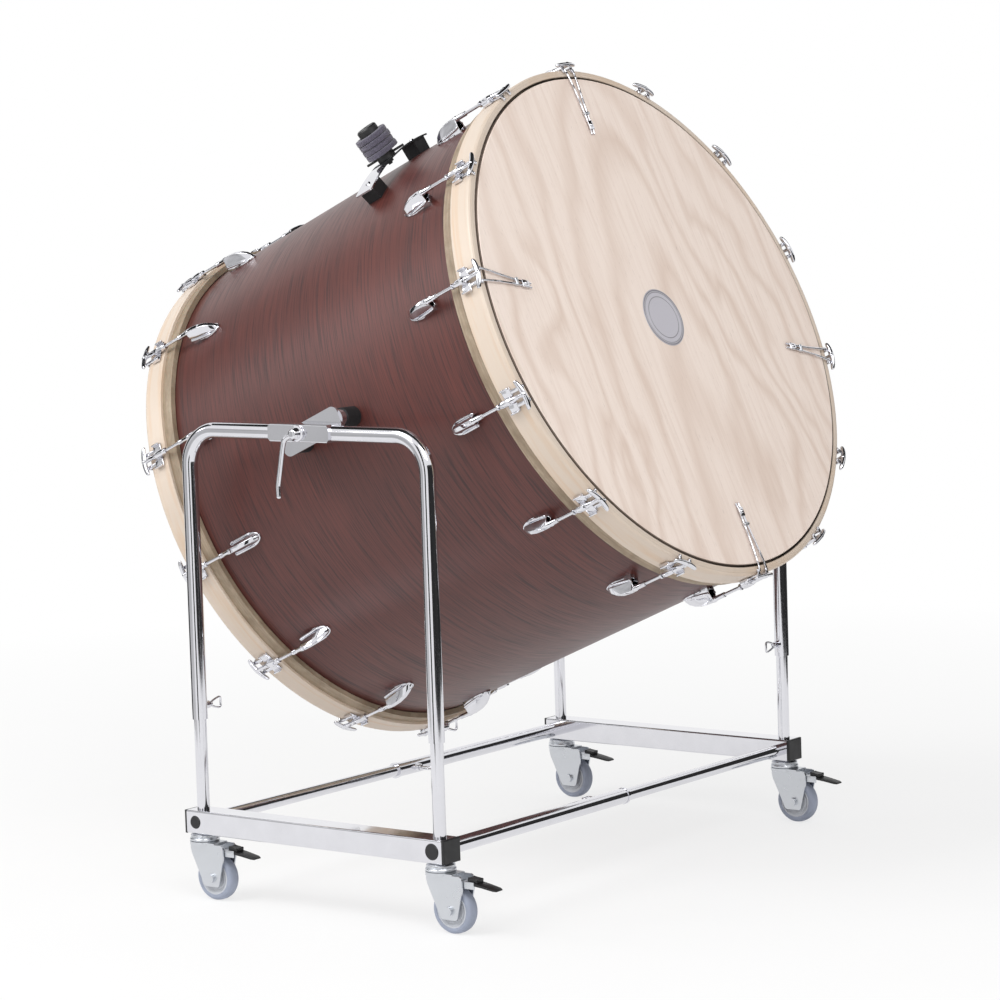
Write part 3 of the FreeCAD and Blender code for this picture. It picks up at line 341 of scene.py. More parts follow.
def block(name, x, y, z, rounding=0.0, segments=2):
    """Box between three (low, high) pairs, with rounded edges."""
    obj = fresh(name, "cube", size=1)
    low, high = Vector((x[0], y[0], z[0])), Vector((x[1], y[1], z[1]))
    shape(obj, Matrix.Translation((low + high) / 2) @ Matrix.Diagonal((high - low).to_4d()))
    if rounding:
        rounded(obj, rounding, segments)
    return obj


def ball(name, centre, radius):
    """Sphere at a place."""
    return fresh(name, "uv_sphere", segments=16, ring_count=8, radius=radius, location=centre)


def wire(name, points, radius, closed=False, fine=2, steps=6):
    """Round wire bent smoothly along control points."""
    bpy.ops.object.select_all(action="DESELECT")
    bpy.ops.curve.primitive_nurbs_path_add()
    obj = bpy.context.object
    obj.name = name
    curve = obj.data
    curve.splines.clear()
    spline = curve.splines.new("NURBS")
    spline.points.add(len(points) - 1)
    for point, place in zip(spline.points, points):
        point.co = (*place, 1)
    spline.order_u = 3
    spline.use_endpoint_u = not closed
    spline.use_cyclic_u = closed
    spline.resolution_u = steps
    curve.bevel_depth = radius
    curve.bevel_resolution = fine
    curve.use_fill_caps = not closed
    bpy.ops.object.convert(target="MESH")
    obj = bpy.context.object
    bpy.ops.object.mode_set(mode="EDIT")
    close_up()
    return obj


# ---------------------------------------------------------------- finishes
FINISHES = {}


def node(tree, kind, inputs=None, **settings):
    """Add a shader node, with its sockets linked or set."""
    made = tree.nodes.new("ShaderNode" + kind)
    for key, value in settings.items():
        setattr(made, key, value)
    for key, value in (inputs or {}).items():
        if isinstance(value, bpy.types.NodeSocket):
            tree.links.new(value, made.inputs[key])
        else:
            made.inputs[key].default_value = value
    return made


def start_finish(name, slot, **sockets):
    """New material with its shader's plain sockets set; returns its tree and shader."""
    material = bpy.data.materials.new(name)
    material.use_nodes = True
    FINISHES[slot] = material
    shader = material.node_tree.nodes["Principled BSDF"]
    for key, value in sockets.items():
        shader.inputs[key.replace("_", " ")].default_value = value
    return material.node_tree, shader


def solid(colour):
    """Colour with full alpha."""
    return (*colour, 1.0)


def place_on_drum(tree):
    """Coordinates in the drum's own axes, in metres."""
    coords = node(tree, "TexCoord").outputs["Object"]
    return node(tree, "Mapping", {"Vector": coords, "Location": PIVOT, "Rotation": (0, -TILT, 0)},
                vector_type="TEXTURE").outputs[0]


def stretched(tree, vector, scale):
    """Coordinates stretched so that a pattern is finer along some axes."""
    return node(tree, "Mapping", {"Vector": vector, "Scale": scale}).outputs[0]


def noise(tree, vector, scale=1.0, detail=4.0, roughness=0.5, distortion=0.0):
    """Grey noise."""
    return node(tree, "TexNoise", {"Vector": vector, "Scale": scale, "Detail": detail, "Roughness": roughness,
                                   "Distortion": distortion}).outputs["Fac"]


def ramp(tree, factor, stops):
    """Colour ramp from (position, colour) pairs."""
    made = node(tree, "ValToRGB", {"Fac": factor})
    elements = made.color_ramp.elements
    while len(elements) < len(stops):
        elements.new(0.5)
    for element, (position, colour) in zip(elements, stops):
        element.position = position
        element.color = solid(colour)
    return made.outputs["Color"]


def span(tree, factor, low, high, start=0.0, end=1.0):
    """Map a grey range to another."""
    return node(tree, "MapRange", {"Value": factor, "From Min": start, "From Max": end, "To Min": low,
                                   "To Max": high}).outputs["Result"]


def maths(tree, operation, first, second=0.0):
    """One sum."""
    return node(tree, "Math", {0: first, 1: second}, operation=operation).outputs[0]


def diagonal(tree, first, second):
    """Length of the diagonal over two lengths."""
    squares = [maths(tree, "MULTIPLY", length, length) for length in (first, second)]
    return maths(tree, "SQRT", maths(tree, "ADD", *squares))


def axis_distance(tree, place):
    """Distance from the drum's axis, for a place in the drum's own axes."""
    parts = node(tree, "SeparateXYZ", {0: place})
    return diagonal(tree, parts.outputs[1], parts.outputs[2])


def mixed(tree, factor, first, second, blend="MIX"):
    """Mix two colours."""
    made = node(tree, "Mix", data_type="RGBA", blend_type=blend)
    for index, value in ((0, factor), (6, first), (7, second)):
        if isinstance(value, bpy.types.NodeSocket):
            tree.links.new(value, made.inputs[index])
        else:
            made.inputs[index].default_value = value
    return made.outputs[2]


def bumped(tree, shader, height, strength, distance):
    """Raise the surface by a grey pattern."""
    made = node(tree, "Bump", {"Height": height, "Strength": strength, "Distance": distance})
    tree.links.new(made.outputs[0], shader.inputs["Normal"])


def paint(tree, shader, colour, roughness=None):
    """Link a colour and a roughness."""
    tree.links.new(colour, shader.inputs["Base Color"])
    if roughness is not None:
        tree.links.new(roughness, shader.inputs["Roughness"])


def mahogany_finish(colours):
    """Stained veneer with dark pores that run round the shell."""
    tree, shader = start_finish("stained_mahogany", "mahogany_shell", Coat_Weight=0.22, Coat_Roughness=0.34,
                                Specular_IOR_Level=0.45)
    place = place_on_drum(tree)
    wander = node(tree, "VectorMath", {0: node(tree, "TexNoise", {
        "Vector": stretched(tree, place, (4, 3, 3)), "Scale": 1.0, "Detail": 2.0}).outputs["Color"],
        1: (0.012, 0.0, 0.0)}, operation="MULTIPLY")
    grain_place = node(tree, "VectorMath", {0: place, 1: wander.outputs[0]}, operation="ADD").outputs[0]
    fine = noise(tree, stretched(tree, grain_place, (380, 9, 9)), detail=5.0, roughness=0.66)
    coarse = noise(tree, stretched(tree, grain_place, (170, 6, 6)), detail=3.0)
    broad = noise(tree, stretched(tree, place, (9, 2.4, 2.4)), detail=2.0)
    light, dark = colours.mahogany, colours.mahogany_pore
    middle_tone = [(a * 0.72 + b * 0.28) for a, b in zip(light, dark)]
    grain = ramp(tree, fine, [(0.36, dark), (0.49, middle_tone), (0.62, light)])
    bands = ramp(tree, coarse, [(0.3, middle_tone), (0.7, light)])
    base = mixed(tree, 0.25, grain, bands)
    shade = ramp(tree, broad, [(0.3, (0.80, 0.80, 0.82)), (0.7, (1, 1, 1))])
    paint(tree, shader, mixed(tree, 1.0, base, shade, "MULTIPLY"), span(tree, fine, 0.5, 0.36, 0.3, 0.7))
    bumped(tree, shader, fine, 0.25, 0.0002)


def maple_finish(colours):
    """Bent maple: long figure round the hoop, glue lines in the end grain, and painted shade darkening the
    hoop's inner wall.
    """
    tree, shader = start_finish("bent_maple", "maple", Coat_Weight=0.2, Coat_Roughness=0.25)
    place = place_on_drum(tree)
    figure = noise(tree, stretched(tree, place, (70, 4, 4)), detail=5.0, roughness=0.6, distortion=0.6)
    fine = noise(tree, stretched(tree, place, (900, 40, 40)), detail=3.0)
    radius = axis_distance(tree, place)
    ply = maths(tree, "FRACT", maths(tree, "MULTIPLY", radius, 1000 / 4.6))
    glue = span(tree, ply, 0.72, 1.0, 0.0, 0.12)
    base = ramp(tree, figure, [(0.32, colours.maple_grain), (0.52, colours.maple), (0.75, colours.maple)])
    flecked = mixed(tree, span(tree, fine, 0.0, 0.35, 0.55, 0.75), base, solid(colours.maple_grain))
    # painted shade: the hoop's inner wall and the millimetre of face beside it are darkened to about an
    # eighth, standing in for the shadow in the gap beside the wooden head
    wall = HOOP_INNER / 1000
    inside = span(tree, radius, 0.12, 1.0, wall + 0.0002, wall + 0.0012)
    flecked = mixed(tree, 1.0, flecked, inside, "MULTIPLY")
    paint(tree, shader, mixed(tree, 1.0, flecked, glue, "MULTIPLY"), span(tree, figure, 0.5, 0.36))
    bumped(tree, shader, fine, 0.12, 0.0002)


def plywood_finish(colours):
    """Rotary-cut face veneer with a broad cathedral figure and short flecks."""
    tree, shader = start_finish("birch_face", "birch_plywood", Specular_IOR_Level=0.2)
    place = place_on_drum(tree)
    parts = node(tree, "SeparateXYZ", {0: place})
    swirl = noise(tree, stretched(tree, place, (1, 5.5, 2.0)), detail=3.0, distortion=0.3)
    across = maths(tree, "ADD", parts.outputs[1], span(tree, swirl, -0.16, 0.16))
    rise = maths(tree, "ADD", maths(tree, "MULTIPLY", parts.outputs[2], 0.16),
                 span(tree, noise(tree, stretched(tree, place, (1, 2.0, 1.1)), detail=2.0), 0.08, 0.36))
    ring = diagonal(tree, across, rise)
    arch = maths(tree, "PINGPONG", maths(tree, "MULTIPLY", ring, 40.0), 1.0)
    figure = span(tree, arch, 1.0, 0.0, 0.0, 0.6)
    streak = noise(tree, stretched(tree, place, (60, 160, 6)), detail=6.0, roughness=0.6)
    fleck = noise(tree, stretched(tree, place, (700, 700, 60)), detail=2.0)
    cloud = noise(tree, stretched(tree, place, (2, 7, 3)), detail=4.0, distortion=0.5)
    light, dark = colours.plywood, colours.plywood_grain
    base = mixed(tree, span(tree, figure, 0.0, 0.62), solid(light), solid(dark))
    base = mixed(tree, span(tree, streak, 0.0, 0.55, 0.45, 0.8), base, solid(dark))
    base = mixed(tree, span(tree, cloud, 0.0, 0.5, 0.35, 0.75), base, solid(light))
    brown = [value * 0.62 for value in dark]
    base = mixed(tree, span(tree, fleck, 0.0, 0.55, 0.66, 0.8), base, solid(brown))
    layer = maths(tree, "PINGPONG", maths(tree, "MULTIPLY", parts.outputs[0], 1000 / 1.6), 1.0)
    glue, veneer = ([value * share for value in dark] for share in (0.16, 0.7))
    plies = ramp(tree, layer, [(0.3, glue), (0.7, veneer)])
    face = HEAD_FACE / 1000
    base = mixed(tree, span(tree, parts.outputs[0], 1.0, 0.0, face - 0.0018, face - 0.0012), base, plies)
    paint(tree, shader, base, span(tree, streak, 0.55, 0.42))
    bumped(tree, shader, streak, 0.1, 0.0002)


def skin_finish(colours):
    """Natural skin, marbled and drawn over the hoop."""
    tree, shader = start_finish("natural_skin_finish", "natural_skin", Subsurface_Weight=0.08,
                                Subsurface_Scale=0.004)
    place = place_on_drum(tree)
    marble = noise(tree, stretched(tree, place, (60, 24, 24)), detail=7.0, roughness=0.65, distortion=0.3)
    streak = noise(tree, stretched(tree, place, (420, 9, 9)), detail=3.0)
    base = ramp(tree, marble, [(0.3, colours.skin_vein), (0.66, colours.skin)])
    base = mixed(tree, span(tree, streak, 0.0, 0.6, 0.42, 0.7), base, solid(colours.skin_vein))
    paint(tree, shader, base, span(tree, marble, 0.62, 0.4))
    bumped(tree, shader, marble, 0.3, 0.0005)


def plated_finish(name, slot, colour, low, high, grain, bump):
    """Plated steel with faint handling marks in its gloss."""
    tree, shader = start_finish(name, slot, Metallic=1.0)
    coords = node(tree, "TexCoord").outputs["Object"]
    smudge = noise(tree, coords, scale=22.0, detail=5.0, roughness=0.6)
    scratch = noise(tree, stretched(tree, coords, grain), detail=3.0)
    dull = [value * 0.95 for value in colour]
    tone = ramp(tree, smudge, [(0.35, dull), (0.65, colour)])
    paint(tree, shader, tone, span(tree, smudge, low, high, 0.3, 0.75))
    bumped(tree, shader, scratch, bump, 0.0002)


def moulded_finish(name, slot, colour, low, high, scale, bump, **sockets):
    """Moulded plastic or rubber with a fine grain and slightly worn, dusty patches."""
    tree, shader = start_finish(name, slot, **sockets)
    coords = node(tree, "TexCoord").outputs["Object"]
    grain = noise(tree, coords, scale=scale, detail=3.0)
    patch = noise(tree, coords, scale=28.0, detail=5.0, roughness=0.6)
    worn = [min(1.0, value * 1.18 + 0.006) for value in colour]
    tone = ramp(tree, patch, [(0.4, colour), (0.75, worn)])
    paint(tree, shader, tone, span(tree, patch, high, low, 0.3, 0.7))
    bumped(tree, shader, grain, bump, 0.0003)


def felt_finish(colours):
    """Pressed wool felt with light and dark fibres."""
    tree, shader = start_finish("wool_felt", "grey_felt", Roughness=0.95, Sheen_Weight=0.35,
                                Sheen_Roughness=0.5)
    coords = node(tree, "TexCoord").outputs["Object"]
    fibre = noise(tree, coords, scale=520.0, detail=8.0, roughness=0.75, distortion=1.5)
    clump = noise(tree, coords, scale=90.0, detail=4.0)
    dark = [value * 0.42 for value in colours.felt]
    pale = [min(1.0, value * 1.9) for value in colours.felt]
    base = ramp(tree, fibre, [(0.36, dark), (0.5, colours.felt), (0.68, pale)])
    shade = ramp(tree, clump, [(0.3, (0.78,) * 3), (0.7, (1,) * 3)])
    paint(tree, shader, mixed(tree, 1.0, base, shade, "MULTIPLY"))
    bumped(tree, shader, fibre, 0.8, 0.0012)


def badge_finish(colours):
    """Spun metal with darker engraved rings."""
    tree, shader = start_finish("spun_badge", "badge", Metallic=0.15)
    place = place_on_drum(tree)
    radius = axis_distance(tree, place)
    turning = noise(tree, node(tree, "CombineXYZ", {0: maths(tree, "MULTIPLY", radius, 1400.0)}).outputs[0],
                    detail=2.0)
    dark = [value * 0.3 for value in colours.badge]
    base = ramp(tree, turning, [(0.3, [value * 0.86 for value in colours.badge]), (0.6, colours.badge)])
    for line, width in ((0.0505, 0.0012), (0.0472, 0.0006), (0.0385, 0.0007)):
        gap = maths(tree, "ABSOLUTE", maths(tree, "SUBTRACT", radius, line))
        base = mixed(tree, span(tree, gap, 1.0, 0.0, 0.0, width * 1.6), base, solid(dark))
    paint(tree, shader, base, span(tree, turning, 0.45, 0.3))
    bumped(tree, shader, turning, 0.1, 0.0001)


# ---------------------------------------------------------------- finished pieces
def settle(obj, carrier, slot, replaced=(), angle=35):
    """Give a finished piece its finish and let it ride with the body of a CAD node."""
    smooth(obj, angle)
    obj.data.materials.clear()
    obj.data.materials.append(FINISHES[slot])
    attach(obj, BODY[carrier])
    if replaced:
        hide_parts(*replaced)
    return obj


def station(index):
    """Turn to a lug station; 90 degrees is the top."""
    return Matrix.Rotation(math.radians(90 + index * 360 / STATIONS), 4, "X")


def stations(both=True, chosen=range(STATIONS)):
    """Places of a fitting round one or both ends of the drum."""
    ends = (Matrix.Identity(4), Matrix.Scale(-1, 4, UNIT["X"])) if both else (Matrix.Identity(4),)
    return [DRUM @ MILLI @ end @ station(i) for end in ends for i in chosen]


def make_lug():
    """One cast lug: an egg-shaped foot, a faceted scoop with an open mouth and two side rails."""
    base = SHELL_RADIUS
    length = LUG_MOUTH - LUG_BACK
    foot = fresh("foot", "cylinder", vertices=40, radius=1, depth=1)
    shape(foot, Matrix.Rotation(math.pi / 2, 4, "X"))
    shape(foot, Matrix.Translation((LUG_BACK + length * 0.48, base + 1.2, 0))
          @ Matrix.Diagonal((length * 0.48, 5.0, 13.9, 1)))
    choose(foot, lambda place, normal: place.x > LUG_BACK + length * 0.5, "VERT")
    bpy.ops.transform.resize(value=(1, 1, 0.86), center_override=(0, base, 0))
    bpy.ops.object.mode_set(mode="OBJECT")
    rounded(foot, 1.3, 3, 50)
    top = ROD_AXIS - base + 7.0
    profile = ((LUG_BACK + 1.5, 2.5, 2.5), (LUG_BACK + 4, 8.5, 5.8), (LUG_BACK + 10, 15.5, 8.2),
               (LUG_BACK + 20, 22.5, 9.4), (LUG_BACK + 34, top * 0.93, 10.2), (LUG_BACK + 50, top, 10.6),
               (LUG_MOUTH - 0.5, top * 0.99, 10.6))
    rings = [((along, base, 0), high, wide) for along, high, wide in profile]
    scoop = loft("scoop", rings, "X", 8, math.pi / 8)
    choose(scoop, lambda place, normal: place.x > LUG_MOUTH - 1)
    bpy.ops.mesh.inset(thickness=1.8)
    bpy.ops.mesh.extrude_region_move(TRANSFORM_OT_translate={"value": (-22, 0, 0)})
    bpy.ops.object.mode_set(mode="OBJECT")
    rounded(scoop, 2.4, 4, 24)
    choose(scoop, lambda place, normal: True)
    bpy.ops.mesh.bisect(plane_co=(0, base - 0.6, 0), plane_no=(0, 1, 0), use_fill=True, clear_inner=True)
    bpy.ops.object.mode_set(mode="OBJECT")
    pieces = [foot, scoop]
    rail_line = ((LUG_BACK + 16, 3.5, 11.4, 1.6), (LUG_BACK + 24, 5.0, 11.5, 2.2),
                 (LUG_MOUTH - 12, 8.5, 11.2, 2.5), (LUG_MOUTH - 3, 10.5, 10.6, 3.0),
                 (LUG_MOUTH - 0.6, 10.8, 10.4, 1.8))
    for side in (-1, 1):
        rail = [((along, base + rise, side * offset), radius, radius)
                for along, rise, offset, radius in rail_line]
        pieces.append(modify(loft("rail", rail, "X", 8), "SUBSURF", levels=1, render_levels=1))
    return joined(pieces, "lug")


def make_rod(sizes):
    """One T-handled tension rod: swivel nut, sleeve, thread, shoulder, stem and crescent handle."""
    sleeve, thread = sizes.rod_sleeve * 1000, sizes.rod * 1000
    barrel_end = HOOP_BACK + 20
    handle = HANDLE_FRONT - 4.5
    nut = ((-7, 0), (-7, 4.2), (-4, 5.6), (1, 5.6), (2, 4.7), (3.5, 4.7), (4, sleeve), (12, sleeve))
    outline = [(LUG_MOUTH + along, radius) for along, radius in nut]
    for groove in range(5):
        at = LUG_MOUTH + 12.4 + groove * 1.5
        outline += [(at, sleeve - 0.35), (at + 0.5, sleeve - 0.35), (at + 0.9, sleeve)]
    outline += [(LUG_MOUTH + 22.4, sleeve), (LUG_MOUTH + 23, thread), (barrel_end + 0.5, thread),
                (barrel_end + 0.5, 5.2), (barrel_end + 2.5, 5.4), (barrel_end + 4.0, 4.4),
                (handle - 9, 3.6), (handle - 5, 4.2), (handle, 4.6), (handle, 0)]
    shaft = lathe("shaft", outline, "X", 20)
    span_half = sizes.handle * 500
    half = ((1.0, 2.0, 1.8), (0.95, 3.8, 3.0), (0.7, 5.2, 3.8), (0.35, 5.4, 3.9))
    crescent = [(-share, wide, thick) for share, wide, thick in half] + [(0, 5.6, 4.0), *reversed(half)]
    rings = [((handle - 5.0 * share * share, 0, share * (span_half + 2.6)), wide, thick)
             for share, wide, thick in crescent]
    bar = modify(loft("bar", rings, "Z", 10), "SUBSURF", levels=1, render_levels=1)
    hub = ball("hub", (handle - 0.3, 0, 0), 5.0)
    return shape(joined([shaft, bar, hub], "rod"), Matrix.Translation((0, ROD_AXIS, 0)))


def make_claw(sizes):
    """One claw hook: a six-sided barrel, two rounded ears and two hooks over the hoop's edge."""
    radius, ear = sizes.barrel * 1000, sizes.ear * 1000
    start = HOOP_BACK - 6
    end = start + 26
    low = HOOP_OUTER + 0.1
    neck = ((start, 0.62), (start + 9, 1), (end - 7, 1), (end, 0.9))
    rings = [((along, ROD_AXIS, 0), radius * share, radius * share) for along, share in neck]
    barrel = loft("barrel", rings, "X", 6)
    choose(barrel, lambda place, normal: abs(normal.x) > 0.9)
    bpy.ops.mesh.inset(thickness=2.2)
    bpy.ops.object.mode_set(mode="OBJECT")
    rounded(barrel, 0.7, 2)
    ring = ((-2.4, 3.2), (-2.4, 5.2), (-0.4, 5.8), (1, 5.8), (1, 3.2), (-2.4, 3.2))
    collar = lathe("collar", [(start + along, at) for along, at in ring], "X", 20)
    shape(collar, Matrix.Translation((0, ROD_AXIS, 0)))
    web = block("web", (end - 9, end + 0.5), (low + 0.4, ROD_AXIS), (-radius * 0.95, radius * 0.95), 1.2)
    pieces = [barrel, collar, web]
    front = HOOP_FRONT + 0.3
    for side in (-1, 1):
        plate = sorted((side * 5.5, side * ear))
        pieces.append(block("ear", (end - 12, end + 7), (low, low + 3.4), plate, 1.5, 3))
        edge = sorted((side * (ear - 3.2), side * ear))
        pieces.append(block("lip", (end - 11.5, end + 6.5), (low + 0.6, low + 8.4), edge, 1.5, 3))
        hook = sorted((side * 12 - 3.3, side * 12 + 3.3))
        pieces.append(block("strap", (end + 5, front + 3), (low + 0.1, low + 3.1), hook, 1.0))
        pieces.append(block("drop", (front, front + 3), (HOOP_OUTER - 7.5, low + 3.1), hook, 1.0))
        pieces.append(ball("rivet", (front + 2.8, HOOP_OUTER - 5, side * 12), 2.0))
    bridge = block("bridge", (end - 8, end + 1), (low, low + 3.4), (-7, 7), 1.0)
    return joined(pieces + [bridge], "claw")


def make_clip(sizes):
    """One hold-down clip: two sprung wires, a riveted plate and two prongs; the collar is made apart."""
    radius = sizes.clip_wire * 1000
    hooks = HOOP_FRONT + 3.3 + radius
    lift = HEAD_FACE + radius + 0.6
    plate_end = CLIP_TIP + 24
    pieces = []
    for side in (-1, 1):
        points = [(hooks - 1, HOOP_INNER + 12, side * 11), (hooks, HOOP_INNER + 8, side * 10.6),
                  (hooks + 0.3, HOOP_INNER - 4, side * 9.4), (lift + 2.2, HOOP_INNER - 22, side * 7.4),
                  (lift + 1.2, CLIP_TIP + 62, side * 5.2), (lift + 0.8, plate_end, side * 3.4)]
        pieces.append(wire("wire", points, radius, fine=2, steps=5))
        prong = [(lift + 0.6, plate_end, side * 3.3), (lift + 0.6, CLIP_TIP + 10, side * 3.5),
                 (lift - 0.2, CLIP_TIP + 1.6, side * 3.8)]
        pieces.append(wire("prong", prong, radius * 0.9, fine=2, steps=4))
        pieces.append(ball("tip", (lift - 0.4, CLIP_TIP + 1.8, side * 3.8), radius * 0.95))
    plate = block("plate", (lift, lift + 3.6), (CLIP_TIP + 9, plate_end + 2), (-6.4, 6.4), 1.3, 3)
    rivet = lathe("rivet", [(0, 0), (0, 3.8), (1.2, 3.6), (2.2, 2.4), (2.6, 0)], "X", 16)
    shape(rivet, Matrix.Translation((lift + 3.4, CLIP_TIP + 17, 0)))
    return joined(pieces + [plate, rivet], "clip")


def make_wing_screw(sizes):
    """One wing screw along +X from its tube's middle: shank, collar and a bent wire loop."""
    radius = sizes.wing_wire * 1000
    outline = [(11.3, 0), (11.3, 2.9), (21.8, 2.9), (21.8, 4.8), (22.4, 5.2), (24.4, 5.2), (25.0, 4.6),
               (25.0, 0)]
    shank = lathe("shank", outline, "X", 20)
    wing = ((26, 3.4), (33, 6.2), (45, 9.6), (49.8, 8.2))
    loop = [(24.4, 0, 0), *((x, 0, z) for x, z in wing), (50, 0, 0), *((x, 0, -z) for x, z in reversed(wing))]
    return joined([shank, wire("loop", loop, radius, closed=True, fine=3, steps=6)], "wing_screw")


def make_lever(sizes, start):
    """One clamp lever on the near side, about the pivot: flanged hub, domed nut and bent handle."""
    radius = sizes.lever_wire * 1000
    profile = ((0, 0), (0, 13.6), (1.0, 14.0), (3.2, 13.6), (4.2, 10.2), (9, 9.4), (10, 8.4), (14, 8.6),
               (15.6, 7.4), (16.6, 4.6), (17.0, 0))
    hub = lathe("hub", [(start - depth, at) for depth, at in profile], "Y", 32)
    reach_y = start - 11.5
    arm = ((-17, -9), (-21, -18), (-29, -60), (-34, -84), (-35.0, -92), (-34.0, -105))
    points = [(-1, reach_y, -1), (-9, reach_y - 1, -4), *((x, reach_y - 2.4, z) for x, z in arm)]
    handle = wire("handle", points, radius, fine=4, steps=8)
    cap = ball("cap", points[-1], radius)
    return joined([hub, handle, cap], "lever")


def make_tyre(sizes):
    """One tyre about its axle: tread with rounded shoulders and a step down to the hub."""
    wheel, depth = sizes.wheel * 1000, sizes.tyre_depth * 1000
    inner = wheel - depth
    half = [(11.0, inner), (11.6, inner + 1.2), (11.8, wheel - 6.5), (11.3, wheel - 4.2),
            (9.9, wheel - 2.2), (7.4, wheel - 0.8), (3.5, wheel - 0.1)]
    return lathe("tyre", mirrored(half) + [(-11.0, inner)], "Y", 64)


def make_hub(sizes):
    """One moulded hub about its axle: rim, thread ring, dished web with a groove, and boss."""
    inner = (sizes.wheel - sizes.tyre_depth) * 1000
    half = [(14.0, 4.1), (14.0, 9.4), (13.2, 10.6), (7.4, 11.2), (6.8, 13.0), (7.2, 17.0), (8.2, 19.5),
            (8.2, 21.0), (7.4, 22.0), (8.4, 25.0), (10.6, inner - 3.0), (11.3, inner - 2.2),
            (11.3, inner - 0.6), (10.9, inner - 0.02)]
    return lathe("hub", mirrored(half) + [(-14.0, 4.1)], "Y", 48)


def make_tongue(length, half):
    """Black parts of one brake pedal: a thin tongue that droops to its tip, and a rocker on top."""
    rings = [((24, 0, -11.5), half * 1.2, 3.2), ((34, 0, -10.5), half * 1.3, 3.4),
             ((52, 0, -13.0), half * 1.3, 2.6), ((length - 7, 0, -16.5), half * 1.2, 2.2),
             ((length - 1, 0, -17.6), half * 0.9, 1.6)]
    tongue = rounded(loft("tongue", rings, "X", 4, math.pi / 4), 0.5, 2, 40)
    rocker = block("rocker", (20, 40), (-half * 0.72, half * 0.72), (-9.5, -0.6), 2.2, 3)
    choose(rocker, lambda place, normal: normal.z > 0.7)
    bpy.ops.mesh.inset(thickness=1.6)
    bpy.ops.transform.translate(value=(0, 0, -1.2))
    bpy.ops.object.mode_set(mode="OBJECT")
    shape(rocker, Matrix.Translation((30, 0, -6)) @ Matrix.Rotation(math.radians(7), 4, "Y")
          @ Matrix.Translation((-30, 0, 6)))
    return joined([tongue, rocker], "brake_tongue")


def make_cheeks(half):
    """Pressed steel parts of one brake pedal: two cheeks, a cross plate and the pin."""
    pieces = [lathe("pin", [(-half - 4, 0), (-half - 4, 3.0), (half + 4, 3.0), (half + 4, 0)], "Y", 20)]
    shape(pieces[0], Matrix.Translation((5.5, 0, -14)))
    for side in (-1, 1):
        y = sorted((side * (half - 1.4), side * half))
        pieces.append(block("cheek", (-0.5, 36), y, (-18.5, -6.5), 0.6))
    pieces.append(block("plate", (4, 24), (-half + 1, half - 1), (-8.4, -6.8), 0.6))
    return joined(pieces, "brake_cheeks")


def make_race(low, high):
    """One caster's double bearing race and its king pin about the king pin's axis."""
    profile = ((-9.6, 0), (-9.6, 4.9), (0, 4.9), (0, 24.6), (1.2, 25.8), (4.0, RACE_RADIUS), (5.4, 25.2),
               (6.0, 23.4), (7.0, 23.4), (8.0, 24.4), (10.4, 24.2), (12.2, 22.2))
    outline = [(low + rise, at) for rise, at in profile] + [(high - 0.4, 18.5), (high, 17.0), (high, 0)]
    return lathe("race", outline, "Z", 48)


class BASSDRUM_OT_finishes(bpy.types.Operator):
    """Make every finish and put it on the CAD nodes"""
    bl_idname = "bassdrum.finishes"
    bl_label = "Finishes"

    def execute(self, context):
        colours = context.scene.bass_drum.colours
        mahogany_finish(colours)
        maple_finish(colours)
        plywood_finish(colours)
        skin_finish(colours)
        plated_finish("bright_chrome", "chrome", colours.chrome, 0.05, 0.11, (60, 60, 60), 0.01)
        plated_finish("bright_zinc", "zinc", colours.zinc, 0.26, 0.4, (300, 300, 300), 0.05)
        moulded_finish("black_moulding", "black_plastic", colours.black, 0.38, 0.5, 1500.0, 0.12)
        moulded_finish("black_rubber_finish", "black_rubber", colours.black, 0.55, 0.75, 900.0, 0.2)
        moulded_finish("grey_tyre_rubber", "grey_rubber", colours.rubber, 0.5, 0.68, 800.0, 0.15)
        moulded_finish("grey_hub_nylon", "grey_nylon", colours.nylon, 0.35, 0.5, 1200.0, 0.08)
        felt_finish(colours)
        badge_finish(colours)
        for obj in frame["nodes"].values():
            for slot in obj.material_slots:
                name = slot.material.name.split(".")[0]
                slot.material = FINISHES.get(name, FINISHES["chrome"])
        return {"FINISHED"}


class BASSDRUM_OT_lugs(bpy.types.Operator):
    """Cast lugs round both ends of the shell"""
    bl_idname = "bassdrum.lugs"
    bl_label = "Tension Lugs"

    def execute(self, context):
        made = repeated(make_lug(), stations(), "cast_lugs")
        settle(made, "tension_lugs", "chrome", ("tension_lugs",))
        return {"FINISHED"}


class BASSDRUM_OT_rods(bpy.types.Operator):
    """T-handled tension rods with their swivel nuts"""
    bl_idname = "bassdrum.rods"
    bl_label = "Tension Rods"

    def execute(self, context):
        made = repeated(make_rod(context.scene.bass_drum.sizes), stations(), "tension_rod_set")
        settle(made, "t_handle_rods", "chrome", ("t_handle_rods", "tension_nuts"), 50)
        return {"FINISHED"}


class BASSDRUM_OT_claws(bpy.types.Operator):
    """Claw hooks over both counter hoops"""
    bl_idname = "bassdrum.claws"
    bl_label = "Claw Hooks"

    def execute(self, context):
        made = repeated(make_claw(context.scene.bass_drum.sizes), stations(), "claw_hooks")
        settle(made, "hoop_claws", "chrome", ("hoop_claws",), 40)
        return {"FINISHED"}


class BASSDRUM_OT_clips(bpy.types.Operator):
    """Sprung clips that hold the wooden head down, with their dark collars"""
    bl_idname = "bassdrum.clips"
    bl_label = "Hold-down Clips"

    def execute(self, context):
        places = stations(False, CLIP_STATIONS)
        made = repeated(make_clip(context.scene.bass_drum.sizes), places, "head_clips")
        settle(made, "hold_down_clips", "chrome", ("hold_down_clips",), 45)
        lift = HEAD_FACE + 2.0
        collar = block("collar", (lift - 0.8, lift + 5.4), (CLIP_TIP + 37, CLIP_TIP + 43), (-7.2, 7.2),
                       1.6, 3)
        settle(repeated(collar, places, "clip_collars"), "hold_down_clips", "zinc")
        return {"FINISHED"}


